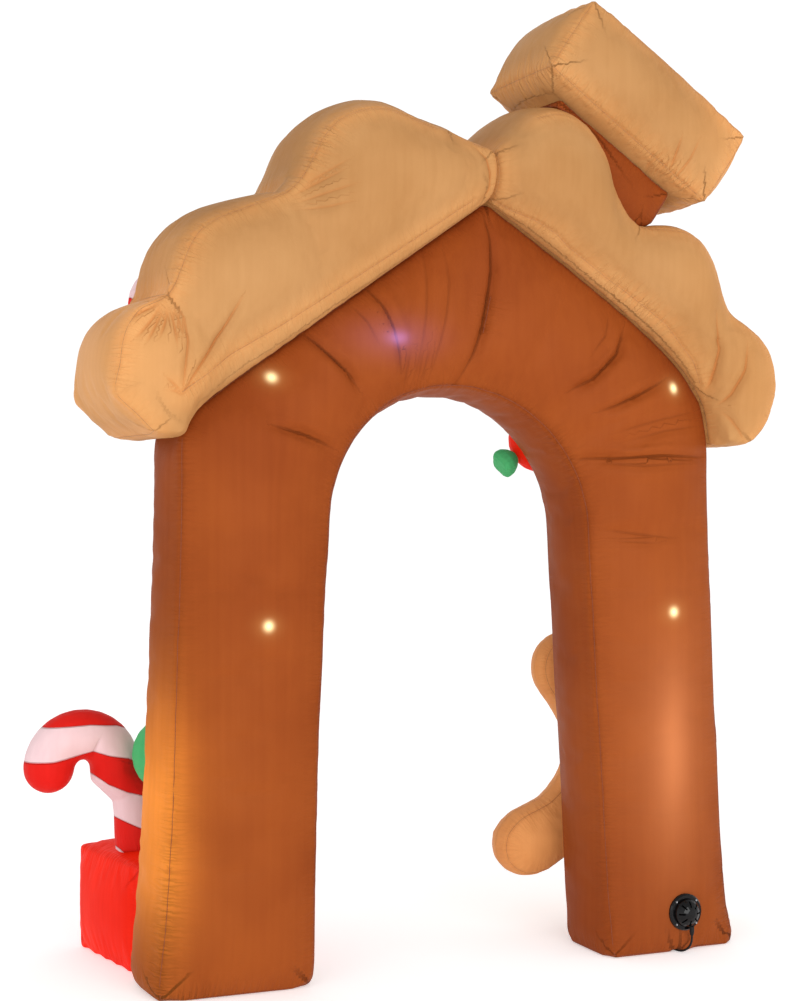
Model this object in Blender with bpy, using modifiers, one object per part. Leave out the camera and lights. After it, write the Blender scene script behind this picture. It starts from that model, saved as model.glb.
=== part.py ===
"""An inflatable gingerbread-house archway.

Two legs and a gable are blown up as one chamber. On them are a scalloped icing roof and a leaning chimney,
and sewn to the front are the sweets, the gift box and the biscuit figure.

Metres, +Z up. The plain back faces -Y and the decorated front +Y. Shapes are placed about the middle of the
walkway, and the last step moves everything so that the origin is the middle of the footprint on the ground.
Every chamber is one closed solid with its crown and its seams; neighbours keep a gap of about 0.3 mm.
"""

import math
from collections import namedtuple

import bmesh
import bpy
from mathutils import Matrix, Vector
from mathutils.geometry import delaunay_2d_cdt, intersect_point_line

# Clearances between chambers
GAP = 0.0003
SEAT_CLEARANCE = 0.0004

# Arch: legs, walkway and gable
LEG_SEAM_Y = 0.130
SPRING_Z = 1.190
CROWN_X = -0.030
CROWN_RISE = 0.400
LEFT_REACH = 0.362
RIGHT_REACH = 0.410
LEFT_SQUARENESS = 2.15
RIGHT_SQUARENESS = 1.96
RIDGE_X = 0.060
FACE_STEPS = 10
EDGE_STEPS = 4
SHOULDER_PUFF = 0.050
GABLE_PUFF = 0.075
TUNNEL_PUFF = 0.015
SHOULDER_WALL_PUFF = 0.014
ARCH_STEPS = 40

WALL_TOPS = (((-0.803, 1.210), (-0.801, 1.330)), ((0.779, 1.210), (0.774, 1.330)))

# Roof
SOFFIT_Y = 0.150
ROOF_FACE_STEPS = 6
ROOF_TOP_STEPS = 6
ROOF_BITE = 0.003

# Chimney, which stands square to the right slope
SLOPE = math.radians(35.0)
CAP_SIZE = (0.606, 0.400, 0.244)
CAP_CENTRE = (0.543, 0.0, 2.397)
CAP_PUFF = (0.036, 0.045, 0.050)
STACK_SIZE = (0.430, 0.290, 0.290)
STACK_SHIFT = 0.005
STACK_PUFF = (0.015, 0.020, 0.0)

# Gift box and candy cane
BOX_SIZE = (0.386, 0.428, 0.296)
BOX_CENTRE = (-0.676, 0.384)
BOX_TURN = math.radians(9.0)
BOX_PUFF = 0.022
CANE_Y = 0.360
CANE_RADIUS = 0.070
HOOK_CENTRE = (-0.940, 0.540)
HOOK_RADIUS = 0.092

# The cane's stem: across, up and radius of the tube.
CANE_STEM = (
    (-0.773, 0.238, 0.068),
    (-0.776, 0.298, 0.068),
    (-0.780, 0.357, 0.067),
    (-0.785, 0.416, 0.064),
    (-0.799, 0.475, 0.063),
)

# Sweets on the front
GUMDROP_CENTRE = (-0.728, 0.236, 0.583)
GUMDROP_RADII = (0.102, 0.092, 0.104)
MINT_CENTRE = (-0.729, 0.258, 1.820)
MINT_RADII = (0.108, 0.080, 0.108)
SWEET_CENTRE = (0.396, 0.226, 1.451)
SWEET_RADII = (0.078, 0.076, 0.090)
SWEET_TURN = math.radians(31.0)
TWIST_LENGTH = 0.060
TWIST_RADIUS = 0.045
TWIST_PROFILE = ((0.0, 0.40), (0.22, 0.72), (0.50, 0.96), (0.80, 1.0), (1.0, 0.84))
PLEAT_DEPTH = 0.22
BALL_SIDES = 16
BALL_RINGS = 10

# Biscuit figure
FIGURE_Y = 0.262
FIGURE_SEAM_DEPTH = 0.100
FIGURE_PUFF = 0.042
FIGURE_EDGE_PUFF = 0.010
FIGURE_GRID = 0.052
FIGURE_FULL_AT = 0.085

# Blower intake and its lead
BLOWER_CENTRE = (0.664, 0.114)
BLOWER_RADIUS = 0.052
BLOWER_SEAT_Y = -0.182
FLANGE_THICK = 0.016
DOME_RADIUS = 0.040
DOME_HEIGHT = 0.030
SLOT_COUNT = 8
SLOT_REACH = 0.026
SLOT_HEIGHT = 0.020
SLOT_SIZE = (0.016, 0.0045, 0.028)
LEAD_DIAMETER = 0.006
LEAD_HEIGHT = LEAD_DIAMETER / 2 + GAP
GROOVE_X = 0.648
GROOVE_WIDTH = 0.015
GROOVE_HEIGHT = 0.010
COIL_CENTRE = (0.655, 0.330)
COIL_MEAN_RADIUS = 0.033
COIL_BAND = (0.024, 0.013)
PLUG_SIZE = (0.022, 0.036, 0.018)
PLUG_BEVEL = 0.001
BLADE_SIZE = (0.0016, 0.017, 0.0064)
BLADE_SPREAD = 0.0127
GLAND_PROFILE = ((0, 0.024), (0.0065, 0.024), (0.0065, 0.010), (0.0045, 0.0), (0, 0.0))

COLOURS = {
    "brown_cloth": ((0.42, 0.13, 0.035), 0.55),
    "icing_cloth": ((0.80, 0.50, 0.25), 0.55),
    "red_cloth": ((0.75, 0.02, 0.015), 0.5),
    "green_cloth": ((0.05, 0.45, 0.16), 0.5),
    "biscuit_cloth": ((0.72, 0.36, 0.13), 0.55),
    "mint_cloth": ((0.85, 0.75, 0.75), 0.5),
    "black_plastic": ((0.012, 0.012, 0.014), 0.3),
    "lead_rubber": ((0.015, 0.015, 0.015), 0.45),
    "plug_metal": ((0.7, 0.68, 0.6), 0.3),
}

# One row for each cross-section of a leg: height, walkway wall and outer wall as distances from the middle,
# half the depth between the seams, how far the walkway wall leans to the back, and the swell of the panels
# and of the outer wall.
LegRow = namedtuple("LegRow", "height inner outer half lean puff wall")
LEFT_LEG_ROWS = (
    LegRow(0.000, 0.438, 0.852, 0.122, 0.000, 0.012, 0.012),
    LegRow(0.025, 0.435, 0.860, 0.126, 0.000, 0.020, 0.020),
    LegRow(0.090, 0.433, 0.854, 0.130, 0.000, 0.032, 0.028),
    LegRow(0.250, 0.431, 0.838, 0.130, 0.000, 0.043, 0.030),
    LegRow(0.500, 0.424, 0.824, 0.130, 0.000, 0.046, 0.028),
    LegRow(0.770, 0.415, 0.815, 0.130, 0.000, 0.048, 0.024),
    LegRow(1.020, 0.402, 0.808, 0.130, 0.000, 0.050, 0.018),
)
RIGHT_LEG_ROWS = (
    LegRow(0.000, 0.433, 0.862, 0.142, 0.042, 0.010, 0.010),
    LegRow(0.025, 0.431, 0.857, 0.140, 0.039, 0.018, 0.018),
    LegRow(0.090, 0.432, 0.841, 0.136, 0.028, 0.030, 0.024),
    LegRow(0.200, 0.431, 0.827, 0.132, 0.014, 0.041, 0.026),
    LegRow(0.420, 0.426, 0.815, 0.130, 0.004, 0.045, 0.024),
    LegRow(0.700, 0.409, 0.800, 0.130, 0.000, 0.047, 0.020),
    LegRow(1.000, 0.391, 0.786, 0.130, 0.000, 0.050, 0.016),
)

# One row for each main gather of the gable: its bearing round the walkway's arch in degrees, anticlockwise
# from the right springing, and how far it draws the puffed panel in.
GatherRow = namedtuple("GatherRow", "bearing depth")
GATHER_ROWS = (
    GatherRow(0.0, 0.007),
    GatherRow(27.0, 0.012),
    GatherRow(36.0, 0.010),
    GatherRow(49.5, 0.014),
    GatherRow(67.5, 0.008),
    GatherRow(85.5, 0.013),
    GatherRow(103.5, 0.008),
    GatherRow(112.5, 0.014),
    GatherRow(130.5, 0.013),
    GatherRow(153.0, 0.012),
)

# One row for each cross-section of a roof slope, from the ridge to the eave. foot lies on the gable and crest
# on the scalloped outline; rise is how far the face's lower seam stands above the gable, half is half the
# depth between the seams, puff the swell of the two faces and crown that of the top strip.
RoofRow = namedtuple("RoofRow", "foot_x foot_z crest_x crest_z rise half puff crown")
LEFT_ROWS = (
    RoofRow(0.060, 2.100, 0.060, 2.230, 0.018, 0.196, 0.018, 0.018),
    RoofRow(0.020, 2.072, 0.002, 2.238, 0.024, 0.206, 0.036, 0.030),
    RoofRow(-0.060, 2.016, -0.080, 2.262, 0.036, 0.216, 0.052, 0.042),
    RoofRow(-0.130, 1.967, -0.168, 2.284, 0.044, 0.222, 0.060, 0.048),
    RoofRow(-0.200, 1.918, -0.254, 2.312, 0.048, 0.222, 0.062, 0.050),
    RoofRow(-0.250, 1.884, -0.334, 2.306, 0.050, 0.222, 0.062, 0.042),
    RoofRow(-0.290, 1.855, -0.408, 2.270, 0.051, 0.218, 0.058, 0.036),
    RoofRow(-0.325, 1.831, -0.450, 2.216, 0.052, 0.212, 0.050, 0.026),
    RoofRow(-0.365, 1.803, -0.481, 2.150, 0.053, 0.204, 0.042, 0.014),
    RoofRow(-0.405, 1.775, -0.530, 2.087, 0.054, 0.200, 0.036, 0.006),
    RoofRow(-0.450, 1.743, -0.612, 2.050, 0.056, 0.210, 0.048, 0.022),
    RoofRow(-0.495, 1.712, -0.696, 2.016, 0.058, 0.216, 0.054, 0.032),
    RoofRow(-0.535, 1.684, -0.764, 1.980, 0.060, 0.218, 0.056, 0.036),
    RoofRow(-0.575, 1.656, -0.804, 1.926, 0.060, 0.214, 0.050, 0.030),
    RoofRow(-0.612, 1.630, -0.826, 1.862, 0.060, 0.204, 0.042, 0.018),
    RoofRow(-0.646, 1.606, -0.856, 1.800, 0.058, 0.200, 0.034, 0.006),
    RoofRow(-0.684, 1.579, -0.918, 1.770, 0.054, 0.210, 0.040, 0.016),
    RoofRow(-0.722, 1.552, -0.962, 1.726, 0.046, 0.216, 0.044, 0.024),
    RoofRow(-0.762, 1.518, -0.980, 1.668, 0.038, 0.220, 0.042, 0.026),
    RoofRow(-0.790, 1.478, -0.988, 1.612, 0.028, 0.220, 0.034, 0.022),
    RoofRow(-0.802, 1.446, -0.999, 1.570, 0.018, 0.220, 0.024, 0.016),
    RoofRow(-0.892, 1.448, -0.996, 1.542, 0.008, 0.217, 0.010, 0.008),
)
RIGHT_ROWS = (
    RoofRow(0.060, 2.100, 0.060, 2.222, 0.018, 0.196, 0.018, 0.018),
    RoofRow(0.095, 2.078, 0.110, 2.266, 0.024, 0.206, 0.036, 0.032),
    RoofRow(0.150, 2.043, 0.178, 2.324, 0.034, 0.218, 0.054, 0.046),
    RoofRow(0.210, 2.004, 0.262, 2.340, 0.042, 0.222, 0.060, 0.048),
    RoofRow(0.265, 1.968, 0.336, 2.306, 0.048, 0.222, 0.060, 0.046),
    RoofRow(0.315, 1.936, 0.388, 2.240, 0.050, 0.218, 0.056, 0.038),
    RoofRow(0.355, 1.908, 0.418, 2.158, 0.052, 0.210, 0.048, 0.028),
    RoofRow(0.395, 1.881, 0.456, 2.096, 0.053, 0.202, 0.040, 0.014),
    RoofRow(0.435, 1.853, 0.508, 2.050, 0.054, 0.200, 0.034, 0.006),
    RoofRow(0.480, 1.821, 0.566, 2.044, 0.055, 0.210, 0.044, 0.026),
    RoofRow(0.530, 1.785, 0.636, 2.040, 0.056, 0.218, 0.052, 0.040),
    RoofRow(0.582, 1.745, 0.700, 2.010, 0.056, 0.220, 0.054, 0.044),
    RoofRow(0.624, 1.710, 0.742, 1.954, 0.054, 0.216, 0.048, 0.038),
    RoofRow(0.661, 1.677, 0.768, 1.890, 0.050, 0.208, 0.040, 0.024),
    RoofRow(0.693, 1.644, 0.799, 1.824, 0.044, 0.202, 0.034, 0.010),
    RoofRow(0.722, 1.609, 0.844, 1.790, 0.038, 0.206, 0.036, 0.014),
    RoofRow(0.748, 1.567, 0.896, 1.750, 0.032, 0.214, 0.040, 0.028),
    RoofRow(0.763, 1.522, 0.932, 1.702, 0.026, 0.218, 0.040, 0.030),
    RoofRow(0.770, 1.482, 0.946, 1.640, 0.020, 0.220, 0.034, 0.026),
    RoofRow(0.774, 1.440, 0.948, 1.584, 0.015, 0.218, 0.026, 0.020),
    RoofRow(0.862, 1.440, 0.922, 1.506, 0.008, 0.215, 0.010, 0.010),
)

# One row for each point of the biscuit figure's outline, from the top of its head anticlockwise as seen from
# behind: across and up the front. A smooth curve joins them, but the foot on the ground is kept straight.
OutlineRow = namedtuple("OutlineRow", "across up")
FIGURE_ROWS = (
    OutlineRow(0.725, 1.160),
    OutlineRow(0.625, 1.135),
    OutlineRow(0.572, 1.040),
    OutlineRow(0.598, 0.940),
    OutlineRow(0.596, 0.888),
    OutlineRow(0.510, 0.880),
    OutlineRow(0.446, 0.844),
    OutlineRow(0.422, 0.788),
    OutlineRow(0.432, 0.728),
    OutlineRow(0.476, 0.668),
    OutlineRow(0.513, 0.608),
    OutlineRow(0.530, 0.555),
    OutlineRow(0.528, 0.500),
    OutlineRow(0.500, 0.440),
    OutlineRow(0.440, 0.379),
    OutlineRow(0.350, 0.343),
    OutlineRow(0.296, 0.288),
    OutlineRow(0.300, 0.212),
    OutlineRow(0.362, 0.169),
    OutlineRow(0.440, 0.180),
    OutlineRow(0.535, 0.236),
    OutlineRow(0.638, 0.262),
    OutlineRow(0.705, 0.205),
    OutlineRow(0.720, 0.100),
    OutlineRow(0.745, 0.000),
    OutlineRow(0.900, 0.000),
    OutlineRow(0.930, 0.100),
    OutlineRow(0.915, 0.260),
    OutlineRow(0.900, 0.400),
    OutlineRow(0.890, 0.530),
    OutlineRow(0.900, 0.620),
    OutlineRow(0.950, 0.690),
    OutlineRow(0.985, 0.760),
    OutlineRow(0.968, 0.835),
    OutlineRow(0.905, 0.872),
    OutlineRow(0.850, 0.882),
    OutlineRow(0.852, 0.940),
    OutlineRow(0.878, 1.040),
    OutlineRow(0.825, 1.135),
)

# The lead's route from its gland to the coil: chosen by hand.
LEAD_ROUTE = (
    (0.6740, -0.2030, 0.0510),
    (0.6738, -0.2033, 0.0420),
    (0.6712, -0.2030, 0.0290),
    (0.6662, -0.1995, 0.0175),
    (0.6595, -0.1920, 0.0090),
    (0.6530, -0.1800, 0.0044),
    (0.6492, -0.1630, LEAD_HEIGHT),
    (0.6480, -0.1300, LEAD_HEIGHT),
    (0.6480, -0.0800, LEAD_HEIGHT),
    (0.6480, -0.0300, LEAD_HEIGHT),
    (0.6480, 0.0300, LEAD_HEIGHT),
    (0.6480, 0.0900, LEAD_HEIGHT),
    (0.6480, 0.1500, LEAD_HEIGHT),
    (0.6490, 0.1800, LEAD_HEIGHT),
    (0.6560, 0.2080, LEAD_HEIGHT),
    (0.6680, 0.2360, LEAD_HEIGHT),
    (0.6800, 0.2620, LEAD_HEIGHT),
    (0.6870, 0.2810, LEAD_HEIGHT),
    (0.6900, 0.2976, LEAD_HEIGHT),
)


def clear_scene():
    """Takes away whatever the file opened with."""
    for old in list(bpy.data.objects):
        bpy.data.objects.remove(old, do_unlink=True)


def new_collection(name):
    """A collection linked to the scene."""
    made = bpy.data.collections.new(name)
    bpy.context.scene.collection.children.link(made)
    return made


def material(name):
    """A plain Principled finish in the piece's own colour."""
    found = bpy.data.materials.get(name)
    if found:
        return found
    colour, roughness = COLOURS[name]
    made = bpy.data.materials.new(name)
    made.use_nodes = True
    shader = made.node_tree.nodes["Principled BSDF"]
    shader.inputs["Base Color"].default_value = (*colour, 1.0)
    shader.inputs["Roughness"].default_value = roughness
    shader.inputs["Metallic"].default_value = 1.0 if name == "plug_metal" else 0.0
    made.diffuse_color = (*colour, 1.0)
    return made


def add_object(name, data, finish, collection):
    """Links mesh or curve data as a named object with its finish."""
    made = bpy.data.objects.new(name, data)
    data.materials.append(material(finish))
    collection.objects.link(made)
    return made


def mesh_object(name, shape, finish, collection):
    """Turns a bmesh into an object in triangles, its faces pointing out and its seams kept sharp."""
    bmesh.ops.recalc_face_normals(shape, faces=shape.faces)
    bmesh.ops.triangulate(shape, faces=shape.faces)
    mesh = bpy.data.meshes.new(name)
    shape.to_mesh(mesh)
    shape.free()
    mesh.shade_smooth()
    mesh.set_sharp_from_angle(angle=math.radians(40.0))
    return add_object(name, mesh, finish, collection)


def crown(share):
    """Height of a blown-up panel across its width: 0 at each seam and 1 in the middle."""
    return math.sin(math.pi * share) ** 0.75


def swollen_side(start, end, push, steps):
    """Points from one seam towards the next, the end left out, swelling by push in the middle."""
    return [start.lerp(end, i / steps) + push * crown(i / steps) for i in range(steps)]


def loft(name, rings, finish, collection):
    """A closed solid through rings of equally many points, with a flat cap at each end."""
    shape = bmesh.new()
    rows = [[shape.verts.new(point) for point in ring] for ring in rings]
    for lower, upper in zip(rows, rows[1:]):
        for i in range(len(lower)):
            j = (i + 1) % len(lower)
            shape.faces.new((lower[i], lower[j], upper[j], upper[i]))
    shape.faces.new(rows[0][::-1])
    shape.faces.new(rows[-1])
    return mesh_object(name, shape, finish, collection)


def between(rows, index, share):
    """A table row between two rows, on a smooth curve but for the foot, which stays on a straight line."""
    p0 = rows[max(index - 1, 0)]
    p1, p2 = rows[index], rows[index + 1]
    p3 = rows[min(index + 2, len(rows) - 1)]
    made = []
    for name, a, b, c, d in zip(p1._fields, p0, p1, p2, p3):
        if name.startswith("foot"):
            made.append(b + (c - b) * share)
            continue
        bend = (c - a) + share * (2 * a - 5 * b + 4 * c - d + share * (3 * (b - c) + d - a))
        made.append(b + 0.5 * share * bend)
    return type(p1)(*made)


def refined(rows, steps):
    """The table's rows with more rows on a smooth curve between them."""
    made = [between(rows, i, k / steps) for i in range(len(rows) - 1) for k in range(steps)]
    return [*made, rows[-1]]


def arch_ring(inner, outer, half, lean, puff, wall):
    """One ring round the arch's chamber: back panel, outer wall, front panel and tunnel."""
    a, b = Vector((inner[0], -lean, inner[1])), Vector((outer[0], 0, outer[1]))
    y = Vector((0, half, 0))
    across = Vector((b.x - a.x, 0, b.z - a.z)).normalized()
    swell = Vector((0, puff, 0))
    return [
        *swollen_side(a - y, b - y, -swell, FACE_STEPS),
        *swollen_side(b - y, b + y, across * wall, EDGE_STEPS),
        *swollen_side(b + y, a + y, swell, FACE_STEPS),
        *swollen_side(a + y, a - y, across * -TUNNEL_PUFF, EDGE_STEPS),
    ]


def leg_rings(rows, side):
    """The rings of one leg from the ground up; side is -1 for the left leg and 1 for the right."""
    return [
        arch_ring((side * row.inner, row.height), (side * row.outer, row.height), *row[3:])
        for row in refined(rows, 2)
    ]


def walkway_point(bearing):
    """A point on the walkway's arch: the left half is a little squarer than the right."""
    cosine, sine = math.cos(math.radians(bearing)), math.sin(math.radians(bearing))
    squareness = RIGHT_SQUARENESS if cosine > 0 else LEFT_SQUARENESS
    reach = RIGHT_REACH if cosine > 0 else LEFT_REACH
    across = math.copysign(abs(cosine) ** (2 / squareness), cosine)
    return CROWN_X + reach * across, SPRING_Z + CROWN_RISE * abs(sine) ** (2 / squareness)


def point_on(line, share):
    """The point at a share of a polyline's length."""
    lengths = [math.dist(p, q) for p, q in zip(line, line[1:])]
    left = share * sum(lengths)
    for (p, q), length in zip(zip(line, line[1:]), lengths):
        if left <= length:
            return tuple(a + (b - a) * left / length for a, b in zip(p, q))
        left -= length
    return line[-1]


def gable_line(rows):
    """The gable's edge from the wall up to the ridge: the wall's top and then the feet of the roof's rows."""
    feet = [(row.foot_x, row.foot_z) for row in rows[:-1]]
    wall = WALL_TOPS[0] if rows is LEFT_ROWS else WALL_TOPS[1]
    return [*wall, *reversed(feet)]


def nearest_foot(line, point):
    """The vertex of the gable's edge nearest to a point, so that the chamber's corners meet the roof's."""
    return min(line, key=lambda vertex: math.dist(vertex, point))


def gather_depth(bearing):
    """How far a gather draws the panel in at this bearing."""
    return sum(row.depth for row in GATHER_ROWS if abs(row.bearing - bearing) < 0.5)


def gable_rings():
    """The rings over the walkway, from the left springing to the right one."""
    left, right = gable_line(LEFT_ROWS), gable_line(RIGHT_ROWS)
    made = []
    for i in range(ARCH_STEPS + 1):
        bearing = 180.0 * (1 - i / ARCH_STEPS)
        height = math.sin(math.radians(bearing)) ** 0.8
        inner = walkway_point(bearing)
        share = abs(bearing - 90.0) / 90.0
        line = left if bearing > 90.0 else right
        outer = nearest_foot(line, point_on(line, 1 - share)) if share < 0.97 else line[0]
        if made and outer == made[-1][1]:
            continue
        puff = SHOULDER_PUFF + (GABLE_PUFF - SHOULDER_PUFF) * height
        free = outer in (left[0], left[1], right[0], right[1])
        wall = SHOULDER_WALL_PUFF if free else 0.0
        made.append((inner, outer, LEG_SEAM_Y, 0.0, puff - gather_depth(bearing), wall))
    return [arch_ring(*row) for row in made]


def build_arch(collection):
    """Legs and gable, blown up as one chamber."""
    rings = [*leg_rings(LEFT_LEG_ROWS, -1), *gable_rings(), *reversed(leg_rings(RIGHT_LEG_ROWS, 1))]
    return loft("arch_body", rings, "brown_cloth", collection)


def roof_ring(row, lift):
    """One ring round a roof slope: back face, top strip, front face and the soffit on the gable."""
    foot, crest = Vector((row.foot_x, 0, row.foot_z)), Vector((row.crest_x, 0, row.crest_z))
    up = (crest - foot).normalized()
    foot = foot + lift
    low, high = foot + up * row.rise, crest
    y = Vector((0, row.half, 0))
    flat = Vector((0, SOFFIT_Y, 0))
    swell = Vector((0, row.puff, 0))
    return [
        *swollen_side(low - y, high - y, -swell, ROOF_FACE_STEPS),
        *swollen_side(high - y, high + y, up * row.crown, ROOF_TOP_STEPS),
        *swollen_side(high + y, low + y, swell, ROOF_FACE_STEPS),
        low + y,
        (low + y).lerp(foot + flat, 0.6) - up * row.rise * 0.2,
        foot + flat,
        foot - flat,
        (low - y).lerp(foot - flat, 0.6) - up * row.rise * 0.2,
    ]


def build_roof(name, rows, side, arch_cutter, collection):
    """One slope of icing, cut to sit on the gable and held off the ridge plane by half the gap."""
    rings = []
    fine = refined(rows, 2)
    for i, row in enumerate(fine):
        before, after = fine[max(i - 1, 0)], fine[min(i + 1, len(fine) - 1)]
        along = Vector((after.foot_x - before.foot_x, 0, after.foot_z - before.foot_z)).normalized()
        outward = Vector((-along.z, 0, along.x)) if side > 0 else Vector((along.z, 0, -along.x))
        ring = roof_ring(row, -outward * ROOF_BITE)
        if i == 0:
            ring = [Vector((RIDGE_X + side * GAP / 2, p.y, p.z)) for p in ring]
        rings.append(ring)
    roof = loft(name, rings, "icing_cloth", collection)
    cut_away(roof, arch_cutter)
    return roof


def pillow_box(name, size, puff, cuts, finish, collection):
    """A box of sewn panels, each swollen in its middle, its seams left straight."""
    shape = bmesh.new()
    bmesh.ops.create_cube(shape, size=1.0)
    for axis in range(3):
        along = [e for e in shape.edges if abs((e.verts[0].co - e.verts[1].co)[axis]) > 0.5]
        bmesh.ops.subdivide_edges(shape, edges=along, cuts=cuts[axis], use_grid_fill=True)
    for vertex in shape.verts:
        unit = vertex.co * 2.0
        fullness = [math.cos(u * math.pi / 2) ** 0.6 if abs(u) < 0.999 else 0.0 for u in unit]
        moved = Vector(unit[i] * size[i] / 2 for i in range(3))
        for axis in range(3):
            if abs(unit[axis]) > 0.999:
                others = [fullness[i] for i in range(3) if i != axis]
                moved[axis] += math.copysign(puff[axis] * others[0] * others[1], unit[axis])
        vertex.co = moved
    return mesh_object(name, shape, finish, collection)


def offset_copy(carrier, clearance, cutters):
    """A cutter in the shape of a piece, grown by the clearance on every side."""
    cutter = bpy.data.objects.new(carrier.name + "_cutter", carrier.data)
    cutter.matrix_world = carrier.matrix_world
    cutters.objects.link(cutter)
    for modifier in carrier.modifiers:
        copied = cutter.modifiers.new(modifier.name, modifier.type)
        copied.operation, copied.object = modifier.operation, modifier.object
    grow = cutter.modifiers.new("Grow", "DISPLACE")
    grow.mid_level = 0.0
    grow.strength = clearance
    cutter.hide_render = True
    cutter.display_type = "WIRE"
    return cutter


def cut_away(piece, cutter):
    """Takes the cutter's shape out of a piece, so that the piece sits on its carrier."""
    cut = piece.modifiers.new("Seat on " + cutter.name, "BOOLEAN")
    cut.operation = "DIFFERENCE"
    cut.object = cutter


def box_cutter(name, low, high, cutters):
    """A plain box for cutting, given by two corners."""
    shape = bmesh.new()
    bmesh.ops.create_cube(shape, size=1.0)
    low, high = Vector(low), Vector(high)
    size = Matrix.Diagonal((*(high - low), 1.0))
    bmesh.ops.transform(shape, matrix=Matrix.Translation((low + high) / 2) @ size, verts=shape.verts)
    cutter = mesh_object(name, shape, "lead_rubber", cutters)
    cutter.hide_render = True
    cutter.display_type = "WIRE"
    return cutter


def ellipsoid(name, radii, finish, collection):
    """A blown-up ball, longer or flatter along each axis."""
    shape = bmesh.new()
    bmesh.ops.create_uvsphere(shape, u_segments=BALL_SIDES, v_segments=BALL_RINGS, radius=1.0)
    bmesh.ops.transform(shape, matrix=Matrix.Diagonal((*radii, 1.0)), verts=shape.verts)
    return mesh_object(name, shape, finish, collection)


def build_chimney(roof, collection, cutters):
    """The cap, and the stack that carries it down to the right slope."""
    lean = Matrix.Rotation(SLOPE, 4, "Y")
    cap = pillow_box("chimney_cap", CAP_SIZE, CAP_PUFF, (9, 6, 4), "icing_cloth", collection)
    cap.matrix_world = Matrix.Translation(CAP_CENTRE) @ lean
    stack = pillow_box("chimney_stack", STACK_SIZE, STACK_PUFF, (6, 4, 6), "brown_cloth", collection)
    drop = Vector((STACK_SHIFT, 0, -(CAP_SIZE[2] + STACK_SIZE[2]) / 2 + 0.001))
    stack.matrix_world = Matrix.Translation(CAP_CENTRE) @ lean @ Matrix.Translation(drop)
    roof_cutter = offset_copy(roof, SEAT_CLEARANCE, cutters)
    cut_away(cap, roof_cutter)
    cut_away(stack, roof_cutter)
    cut_away(stack, offset_copy(cap, SEAT_CLEARANCE, cutters))
    return cap, stack


def build_gift_box(arch_cutter, collection):
    """The box on the ground in front of the left leg, swollen on all sides but the one it stands on."""
    box = pillow_box("gift_box", BOX_SIZE, (BOX_PUFF,) * 3, (5, 5, 4), "red_cloth", collection)
    for vertex in box.data.vertices:
        if vertex.co.z < -BOX_SIZE[2] / 2 + 0.0001:
            vertex.co.z = -BOX_SIZE[2] / 2
    place = Matrix.Translation((*BOX_CENTRE, BOX_SIZE[2] / 2))
    box.matrix_world = place @ Matrix.Rotation(BOX_TURN, 4, "Z")
    cut_away(box, arch_cutter)
    return box


def cane_line():
    """The candy cane's middle line with the tube's radius at each point: stem, hook and rounded end."""
    centre_x, centre_z = HOOK_CENTRE
    hook = []
    for i in range(15):
        angle = math.radians(-8.0 + 184.0 * i / 14)
        hook.append((centre_x + HOOK_RADIUS * math.cos(angle), centre_z + HOOK_RADIUS * math.sin(angle)))
    points = [*CANE_STEM, *((x, z, CANE_RADIUS) for x, z in hook)]
    end_x, end_z = hook[-1]
    for i in range(1, 7):
        angle = math.pi / 2 * i / 6
        radius = max(CANE_RADIUS * math.cos(angle), CANE_RADIUS * 0.06)
        points.append((end_x, end_z - CANE_RADIUS * math.sin(angle), radius))
    return points


def tube(name, points, radii, finish, resolution, collection):
    """A round tube along a line of points, with a radius at each and closed ends."""
    curve = bpy.data.curves.new(name, "CURVE")
    curve.dimensions = "3D"
    curve.bevel_depth = 1.0
    curve.bevel_resolution = resolution
    curve.use_fill_caps = True
    line = curve.splines.new("POLY")
    line.points.add(len(points) - 1)
    for point, place, radius in zip(line.points, points, radii):
        point.co = (*place, 1.0)
        point.radius = radius
    return add_object(name, curve, finish, collection)


def meshed(source):
    """Replaces a curve by the mesh it makes, its caps welded on."""
    name, place = source.name, source.matrix_world.copy()
    collection = source.users_collection[0]
    finish = source.data.materials[0].name
    graph = bpy.context.evaluated_depsgraph_get()
    mesh = bpy.data.meshes.new_from_object(source.evaluated_get(graph))
    bpy.data.objects.remove(source, do_unlink=True)
    shape = bmesh.new()
    shape.from_mesh(mesh)
    bmesh.ops.remove_doubles(shape, verts=shape.verts, dist=0.0001)
    made = mesh_object(name, shape, finish, collection)
    made.matrix_world = place
    bpy.data.meshes.remove(mesh)
    return made


def build_cane(box, collection, cutters):
    """The candy cane, standing in the top of the gift box with its hook to the left."""
    line = cane_line()
    places = [(x, CANE_Y, z) for x, z, _ in line]
    cane = tube("candy_cane", places, [row[2] for row in line], "red_cloth", 6, collection)
    cane = meshed(cane)
    cut_away(cane, offset_copy(box, SEAT_CLEARANCE, cutters))
    return cane


def build_sweets(arch_cutter, roof_cutter, collection):
    """The gumdrop, the peppermint and the wrapped sweet sewn to the front."""
    gumdrop = ellipsoid("gumdrop", GUMDROP_RADII, "green_cloth", collection)
    gumdrop.location = GUMDROP_CENTRE
    clip_behind(gumdrop, LEG_SEAM_Y - 0.02)
    cut_away(gumdrop, arch_cutter)
    mint = ellipsoid("peppermint", MINT_RADII, "mint_cloth", collection)
    mint.location = MINT_CENTRE
    cut_away(mint, roof_cutter)
    ball = ellipsoid("wrapped_sweet", SWEET_RADII, "red_cloth", collection)
    ball.matrix_world = Matrix.Translation(SWEET_CENTRE) @ Matrix.Rotation(-SWEET_TURN, 4, "Y")
    cut_away(ball, arch_cutter)
    for name, side in (("sweet_twist_lower", -1), ("sweet_twist_upper", 1)):
        build_twist(name, side, ball, arch_cutter, collection)
    return gumdrop, mint, ball


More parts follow.
